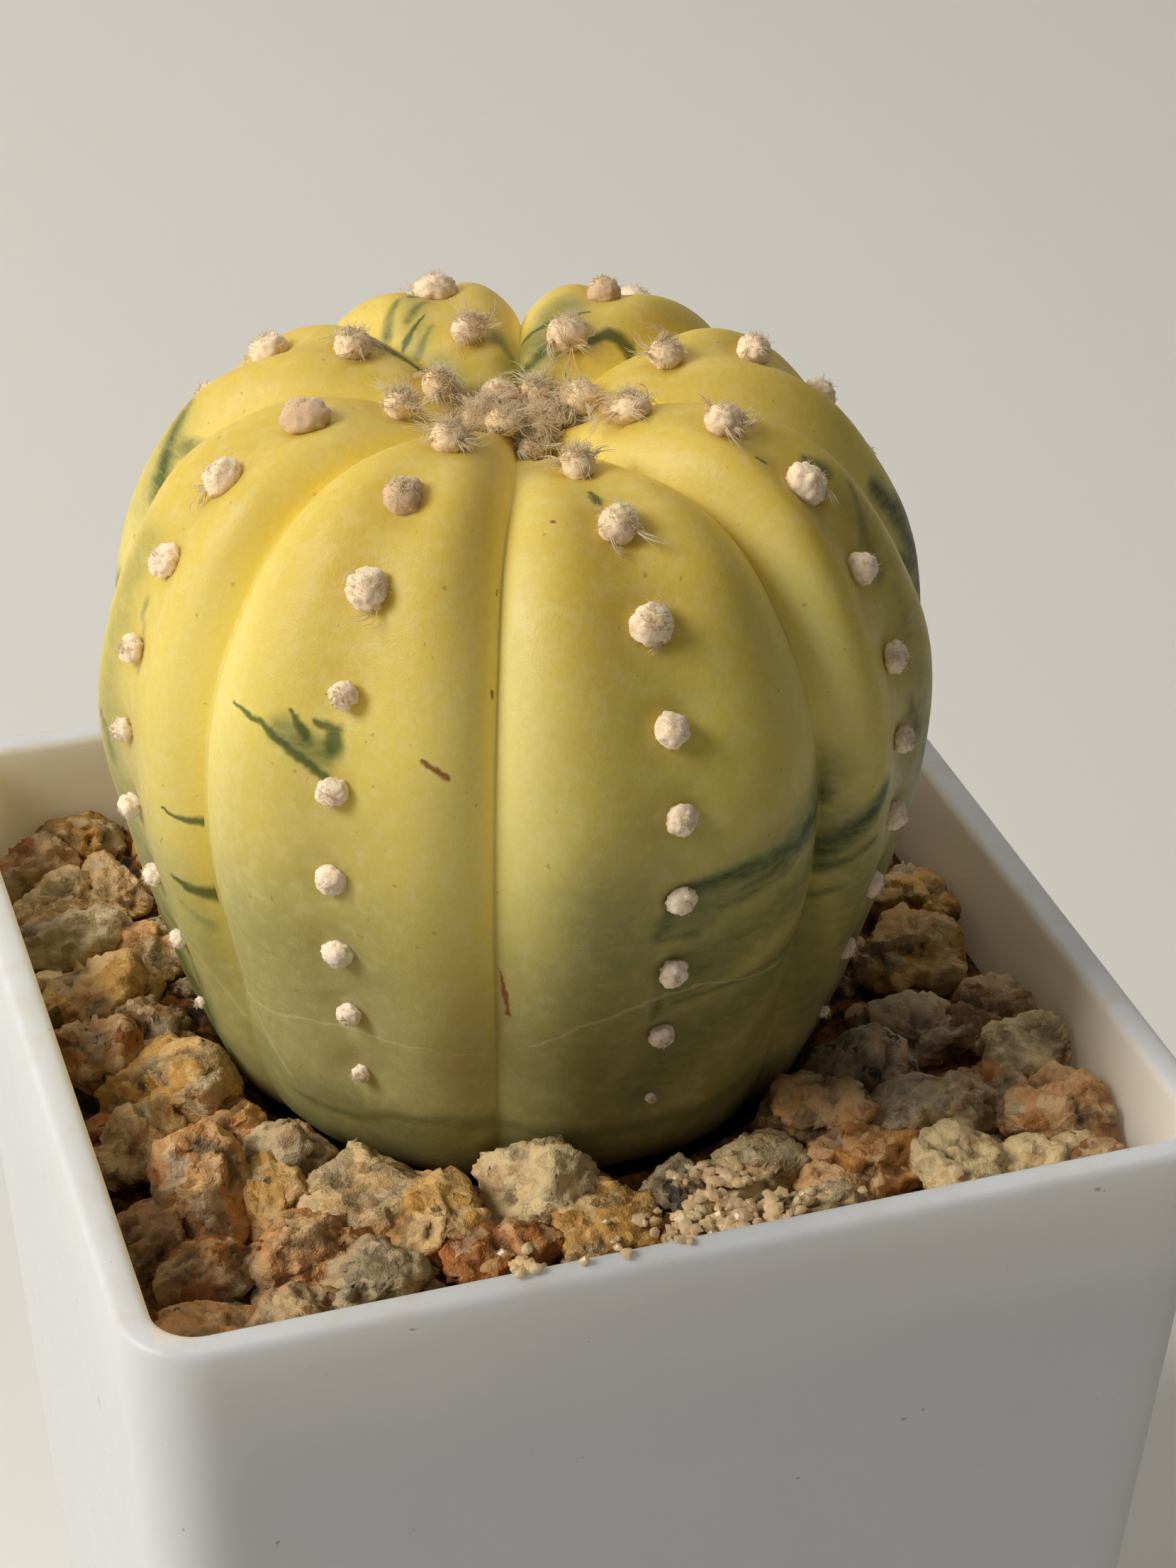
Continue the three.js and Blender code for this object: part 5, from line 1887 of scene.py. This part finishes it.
def make_crown_wool():
    """The felt of young wool in the crown and the tufts that stray from it."""
    source = np.random.default_rng(SEED + 3)

    def scatter(count, radius):
        """Places spread over the crown inside a radius."""
        angle = source.uniform(0, TURN, count)
        reach = radius * np.sqrt(source.uniform(0, 1, count))
        level = POT_HEIGHT + np.interp(reach, CROWN_PLACES, CROWN_HEIGHTS)
        return np.stack([np.cos(angle) * reach, AXIS_Y + np.sin(angle) * reach, level], axis=1)

    felt_headings = source.normal(size=(CROWN_HAIRS, 3)) * FELT_SPREAD + FELT_RISE
    felt_lengths = source.uniform(*FELT_LENGTHS, CROWN_HAIRS)
    felt_roots = scatter(CROWN_HAIRS, CROWN_FELT_RADIUS)
    bends = (FELT_CURL, CROWN_DROOP)
    felt = grow_hairs(felt_roots, felt_headings, felt_lengths, *bends, CROWN_STEPS, source)
    centres = np.repeat(scatter(CROWN_TUFTS, CROWN_WOOL_RADIUS), TUFT_HAIRS, axis=0)
    ways = source.normal(size=(CROWN_TUFTS, 3)) * TUFT_SPREAD + TUFT_RISE
    roots = centres + source.normal(size=centres.shape) * TUFT_ROOT_STRAY
    stray = source.normal(size=centres.shape) * TUFT_STRAY
    headings = np.repeat(ways, TUFT_HAIRS, axis=0) + stray
    lengths = np.repeat(source.uniform(*TUFT_LENGTHS, CROWN_TUFTS), TUFT_HAIRS)
    lengths = lengths * source.uniform(*TUFT_SHARES, len(roots))
    bends = (TUFT_CURL, CROWN_DROOP)
    tufts = grow_hairs(roots, headings, lengths, *bends, CROWN_STEPS, source, TUFT_HAIRS)
    paths = np.concatenate([felt, tufts])
    return make_strands(paths, source.uniform(*CROWN_RADII, len(paths)))


# Settings that a user would change

def colour_setting(name, description, code):
    """A colour that a user would change."""
    return bpy.props.FloatVectorProperty(
        name=name,
        description=description,
        default=paint(code),
        size=3,
        min=0,
        max=1,
        subtype="COLOR",
    )


def share_setting(name, description, value):
    """A share from 0 to 1 that a user would change."""
    return bpy.props.FloatProperty(
        name=name,
        description=description,
        default=value,
        min=0,
        max=1,
        subtype="FACTOR",
    )


class PotSettings(bpy.types.PropertyGroup):
    """Colours of the pot and what fills it."""

    plastic: colour_setting("Plastic", "Colour of the moulded pot", "D8DADC")
    # Painted light: the warm light reflected from the grit and let through the wall, on the inner faces.
    inner: colour_setting("Inner wall", "Colour of the walls' inner faces", "F0E2CA")
    dust: colour_setting("Dust", "Colour of the mineral dust on the pot", "CDB894")
    speck: colour_setting("Speck", "Colour of the tiny dark specks", "5A4C40")
    soil: colour_setting("Potting mix", "Colour of the soil under the grit", "2E2218")
    bed: colour_setting("Fines", "Colour of the soil's lighter fibres", "4A3824")


class GritSettings(bpy.types.PropertyGroup):
    """Shape and colours of the granite grit."""

    relief: bpy.props.FloatProperty(
        name="Relief",
        description="How rough the broken faces of the stones are",
        default=1.4 * MM,
        min=0,
        max=2 * MM,
        subtype="DISTANCE",
    )
    crystal: colour_setting("Feldspar", "Colour of the pale crystals", "EAD2A0")
    quartz: colour_setting("Quartz", "Colour of the grey crystals", "B09C7C")
    rust: colour_setting("Rust", "Colour of the iron stains", "B47028")
    # On the stones this colour paints highlights on random small faces.
    dust: colour_setting("Dust", "Colour of the dust on the stones", "DEBE86")
    mica: colour_setting("Mica", "Colour of the black mica", "1C1A18")
    # This colour also paints the shade on the stones' small faces and darkens them towards their hollows.
    bed: colour_setting("Fines", "Colour of the fines between the stones", "281A0E")
    sand: colour_setting("Sand", "Colour of the quartz sand", "D0B48C")


class CactusSettings(bpy.types.PropertyGroup):
    """Colours and finish of the plant's skin."""

    flesh: colour_setting("Yellow flesh", "Colour of the variegated flesh", "E4CC5E")
    # The low flesh colour is partly the older flesh and partly painted shade; it also paints the shade
    # along the crests.
    low_flesh_and_shade: colour_setting("Low flesh", "Colour of the older flesh low down", "A69C5C")
    # The amber on top is painted shade on the upward faces, which get less light from the side.
    amber: colour_setting("Amber", "Colour of the flesh on top that gets most sun", "D8AE34")
    # The grey-green colour is partly real and partly painted shade on the plant's right side and foot.
    side_flesh_and_shade: colour_setting("Grey-green flesh", "Colour of the plant's sides", "6E7848")
    # The groove bands are partly a real paler band and mostly painted light on the flanks that face the
    # light.
    groove_band_and_light: colour_setting("Groove flesh", "Colour of the bands beside the grooves", "F4E692")
    glow_flesh: colour_setting("Lit flesh", "Colour of the flanks that glow with light", "F6E074")
    # Painted light: the paler flesh at the lower left stands in for the low light from the left.
    low_left_light: colour_setting("Pale flesh", "Colour of the paler flesh at the lower left", "D2C884")
    # The groove line is painted shade along the bottom of the grooves.
    groove_shade_line: colour_setting("Groove line", "Colour in the bottom of the grooves", "B89440")
    # The foot colour is mostly painted shade where the plant enters the grit, over real dark mottling.
    foot: colour_setting("Foot", "Colour of the plant where it enters the grit", "57522C")
    streak: colour_setting("Streak", "Colour of the green streaks", "2A460F")
    fleck: colour_setting("Fleck", "Colour of pale mottling and creases", "F0E2A8")
    scar: colour_setting("Scar", "Colour of corky marks", "8A4E22")
    feather: share_setting("Feathering", "How ragged the edges of the streaks are", 0.9)
    translucency: share_setting("Translucency", "How far light travels in the flesh", 0.5)


class WoolSettings(bpy.types.PropertyGroup):
    """Colours of the areoles' wool."""

    wool: colour_setting("Fresh wool", "Colour of the young wool", "FFE2B6")
    # Painted shade: the colour of the wool's shaded hollows.
    wool_shade: colour_setting("Wool shade", "Colour in the hollows of the wool", "E6BE94")
    old_wool: colour_setting("Old wool", "Colour of the old wool low down", "FFECD4")
    suede: colour_setting("Worn wool", "Colour of the wool that has worn smooth", "E0BC90")
    hair_tip: colour_setting("Hair tips", "Colour of the long hairs", "FFF4D8")


class StageSettings(bpy.types.PropertyGroup):
    """The floor and the lights."""

    floor: colour_setting("Floor", "Colour of the floor and the backdrop", "E6E3DC")
    key_power: bpy.props.FloatProperty(
        name="Key light",
        description="Power of the warm light from the left",
        default=7.0,
        min=0,
        subtype="POWER",
    )
    back_power: bpy.props.FloatProperty(
        name="Back light",
        description="Power of the soft light from above and behind",
        default=3.6,
        min=0,
        subtype="POWER",
    )
    sky: share_setting("Sky", "Brightness of the even light all round", 0.115)


# Operators

class CACTUS_OT_stage(bpy.types.Operator):
    """Adds the camera, the pale floor and backdrop, and the soft lights"""

    bl_idname = "cactus.stage"
    bl_label = "Build stage"

    def execute(self, context):
        settings = context.scene.cactus_stage
        add_camera(context.scene)
        add_backdrop(settings)
        add_light("key_light", KEY_PLACE, KEY_SIZE, settings.key_power, KEY_COLOUR)
        add_light("back_light", BACK_PLACE, BACK_SIZE, settings.back_power, BACK_COLOUR)
        world = bpy.data.worlds.new("studio")
        world.use_nodes = True
        sky = world.node_tree.nodes["Background"]
        sky.inputs["Color"].default_value = rgba(SKY_COLOUR)
        sky.inputs["Strength"].default_value = settings.sky
        context.scene.world = world
        context.scene.view_settings.view_transform = "Standard"
        return {"FINISHED"}


class CACTUS_OT_pot(bpy.types.Operator):
    """Builds the square plastic pot with its rounded rim and drain holes, and finishes the soil"""

    bl_idname = "cactus.pot"
    bl_label = "Build pot"

    def execute(self, context):
        settings = context.scene.cactus_pot
        rings = pot_rings()
        columns = len(rings[0])
        points = [point for ring in rings for point in ring] + [(0, 0, 0), (0, 0, FLOOR)]
        count = len(points)
        faces = loft_faces(len(rings), columns, count - 2, count - 1)
        material = plastic_material(settings)
        pot = add_piece("square_pot", points, faces, material, "pot")
        cut_drains(pot)
        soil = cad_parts["soil"]
        soil.data.materials.clear()
        soil.data.materials.append(soil_material(settings))
        return {"FINISHED"}


class CACTUS_OT_grit(bpy.types.Operator):
    """Builds the granite grit: stones, chips, fines and sand"""

    bl_idname = "cactus.grit"
    bl_label = "Build grit"

    def execute(self, context):
        settings = context.scene.cactus_grit
        material = stone_material(settings)
        bed_points, bed_faces = make_bed(BED_COLUMNS)
        fines = bed_material(settings)
        add_piece("grit_fines", bed_points, bed_faces, fines, "gravel")
        relief = settings.relief / MM
        stones = stone_places()
        surfaces = [(bed_points, bed_faces)]
        half = len(stones) // 2
        groups = (
            ("grit_stones_a", stones[:half], STONE_FACES, 1.0),
            ("grit_stones_b", stones[half:], STONE_FACES, 1.0),
            ("grit_chips", chip_places(stones), CHIP_FACES, CHIP_RELIEF),
        )
        for number, (name, places, count, share) in enumerate(groups, start=1):
            surfaces.append(add_stones(name, number, places, count, relief * share, material))
        add_sand(gather(surfaces), sand_material(settings))
        return {"FINISHED"}


class CACTUS_OT_plant(bpy.types.Operator):
    """Builds the plant's ribbed body with its streaks and marks"""

    bl_idname = "cactus.plant"
    bl_label = "Build plant"

    def execute(self, context):
        settings = context.scene.cactus_plant
        points, poles, faces, ribs, places, spots = make_skin()
        full = np.concatenate([points, poles])
        material = skin_material(settings)
        body = add_piece("cactus_body", full, faces, material, "cactus")
        add_mask(body, "groove", np.append(np.abs(places), [1.0, 1.0]))
        lit = np.isin(ribs, GLOWING_RIBS) * smoothstep(places, *GLOW_EDGE)
        add_mask(body, "far_side", np.append(lit, [0.0, 0.0]))
        add_mask(body, "pale", low_left_light_mask(full))
        add_mask(body, "green", streak_mask(full))
        add_mask(body, "shade", shade_mask(full))
        add_paint(body, "skin_place", spots)
        return {"FINISHED"}


class CACTUS_OT_wool(bpy.types.Operator):
    """Builds the areoles' wool cushions, their fuzz and the wool in the crown"""

    bl_idname = "cactus.wool"
    bl_label = "Build wool"

    def execute(self, context):
        settings = context.scene.cactus_wool
        directions, sphere_faces = cube_sphere(CUSHION_FACES)
        points, faces, ages, tans = make_cushions(directions, sphere_faces)
        wool = wool_material(settings)
        cushions = add_piece("areole_cushions", points, faces, wool, "cactus")
        add_mask(cushions, "age", ages)
        add_mask(cushions, "tan", tans)
        hair = hair_material(settings)
        shapes = {
            "areole_fuzz": make_fuzz(True),
            "areole_nap": make_fuzz(False),
            "areole_wisps": make_wisps(),
            "crown_wool": make_crown_wool(),
        }
        for name, (points, faces) in shapes.items():
            add_piece(name, points, faces, hair, "cactus")
        return {"FINISHED"}


# The stage

def add_camera(scene):
    """The camera at the photograph's viewing angle."""
    azimuth, elevation, roll = (math.radians(value) for value in CAMERA_ANGLES)
    flat = math.cos(elevation)
    back = Vector((math.sin(azimuth) * flat, -math.cos(azimuth) * flat, math.sin(elevation)))
    right = back.cross(Vector((0, 0, -1))).normalized()
    up = back.cross(right)
    side = right * math.cos(roll) + up * math.sin(roll)
    top = up * math.cos(roll) - right * math.sin(roll)
    data = bpy.data.cameras.new("camera")
    data.sensor_width = SENSOR
    data.lens = LENS
    data.clip_start = MM
    camera = bpy.data.objects.new("camera", data)
    scene.collection.objects.link(camera)
    turn = Matrix((side, top, back)).transposed().to_4x4()
    spot = (Vector(CAMERA_TARGET) + back * CAMERA_DISTANCE) * MM
    camera.matrix_world = Matrix.Translation(spot) @ turn
    scene.camera = camera


def add_light(name, spot, size, power, colour):
    """A soft square light that faces the plant."""
    data = bpy.data.lights.new(name, "AREA")
    data.shape = "DISK"
    data.size = size
    data.energy = power
    data.color = colour
    light = bpy.data.objects.new(name, data)
    bpy.context.scene.collection.objects.link(light)
    light.location = spot
    aim = Vector(LIGHT_TARGET) - Vector(spot)
    light.rotation_euler = aim.to_track_quat("-Z", "Y").to_euler()


def add_backdrop(settings):
    """A plain pale floor that curves up behind the object."""
    profile = [(-FLOOR_REACH, 0.0), (CURVE_PLACE, 0.0)]
    for step in range(1, CURVE_STEPS + 1):
        angle = step / CURVE_STEPS * QUARTER
        y = CURVE_PLACE + CURVE_RADIUS * math.sin(angle)
        profile.append((y, CURVE_RADIUS * (1 - math.cos(angle))))
    profile.append((CURVE_PLACE + CURVE_RADIUS, BACKDROP_TOP))
    points = [(x, y, z) for y, z in profile for x in (-FLOOR_REACH, FLOOR_REACH)]
    faces = [(i, i + 1, i + 3, i + 2) for i in range(0, len(points) - 2, 2)]
    mesh = bpy.data.meshes.new("backdrop")
    mesh.from_pydata(points, [], faces)
    mesh.polygons.foreach_set("use_smooth", [True] * len(faces))
    material, tree, shader = start_material("pale_floor", FLOOR_FINISH)
    add_colour(tree, shader, rgba(settings.floor), *FLOOR_GRAIN)
    mesh.materials.append(material)
    backdrop = bpy.data.objects.new("backdrop", mesh)
    bpy.context.scene.collection.objects.link(backdrop)


class CACTUS_PT_panel(bpy.types.Panel):
    """Lists the steps and their settings"""

    bl_idname = "CACTUS_PT_panel"
    bl_label = "Potted star cactus"
    bl_space_type = "VIEW_3D"
    bl_region_type = "UI"
    bl_category = "Cactus"

    def draw(self, context):
        for operator, settings_name in STEPS:
            box = self.layout.box()
            box.operator(operator.bl_idname)
            settings = getattr(context.scene, settings_name)
            for name in settings.bl_rna.properties.keys():
                if name not in ("rna_type", "name"):
                    box.prop(settings, name)


STEPS = (
    (CACTUS_OT_stage, "cactus_stage"),
    (CACTUS_OT_pot, "cactus_pot"),
    (CACTUS_OT_grit, "cactus_grit"),
    (CACTUS_OT_plant, "cactus_plant"),
    (CACTUS_OT_wool, "cactus_wool"),
)
SETTINGS = (
    ("cactus_stage", StageSettings),
    ("cactus_pot", PotSettings),
    ("cactus_grit", GritSettings),
    ("cactus_plant", CactusSettings),
    ("cactus_wool", WoolSettings),
)


def register():
    """Registers the settings, the operators and the panel."""
    for name, group in SETTINGS:
        bpy.utils.register_class(group)
        setattr(bpy.types.Scene, name, bpy.props.PointerProperty(type=group))
    for operator, _ in STEPS:
        bpy.utils.register_class(operator)
    bpy.utils.register_class(CACTUS_PT_panel)


def unregister():
    """Takes them off again in the opposite order."""
    bpy.utils.unregister_class(CACTUS_PT_panel)
    for operator, _ in reversed(STEPS):
        bpy.utils.unregister_class(operator)
    for name, group in reversed(SETTINGS):
        delattr(bpy.types.Scene, name)
        bpy.utils.unregister_class(group)


def main():
    """Builds everything in order."""
    register()
    bpy.ops.cactus.stage()
    bpy.ops.cactus.pot()
    bpy.ops.cactus.grit()
    bpy.ops.cactus.plant()
    bpy.ops.cactus.wool()


if __name__ == "__main__":
    main()
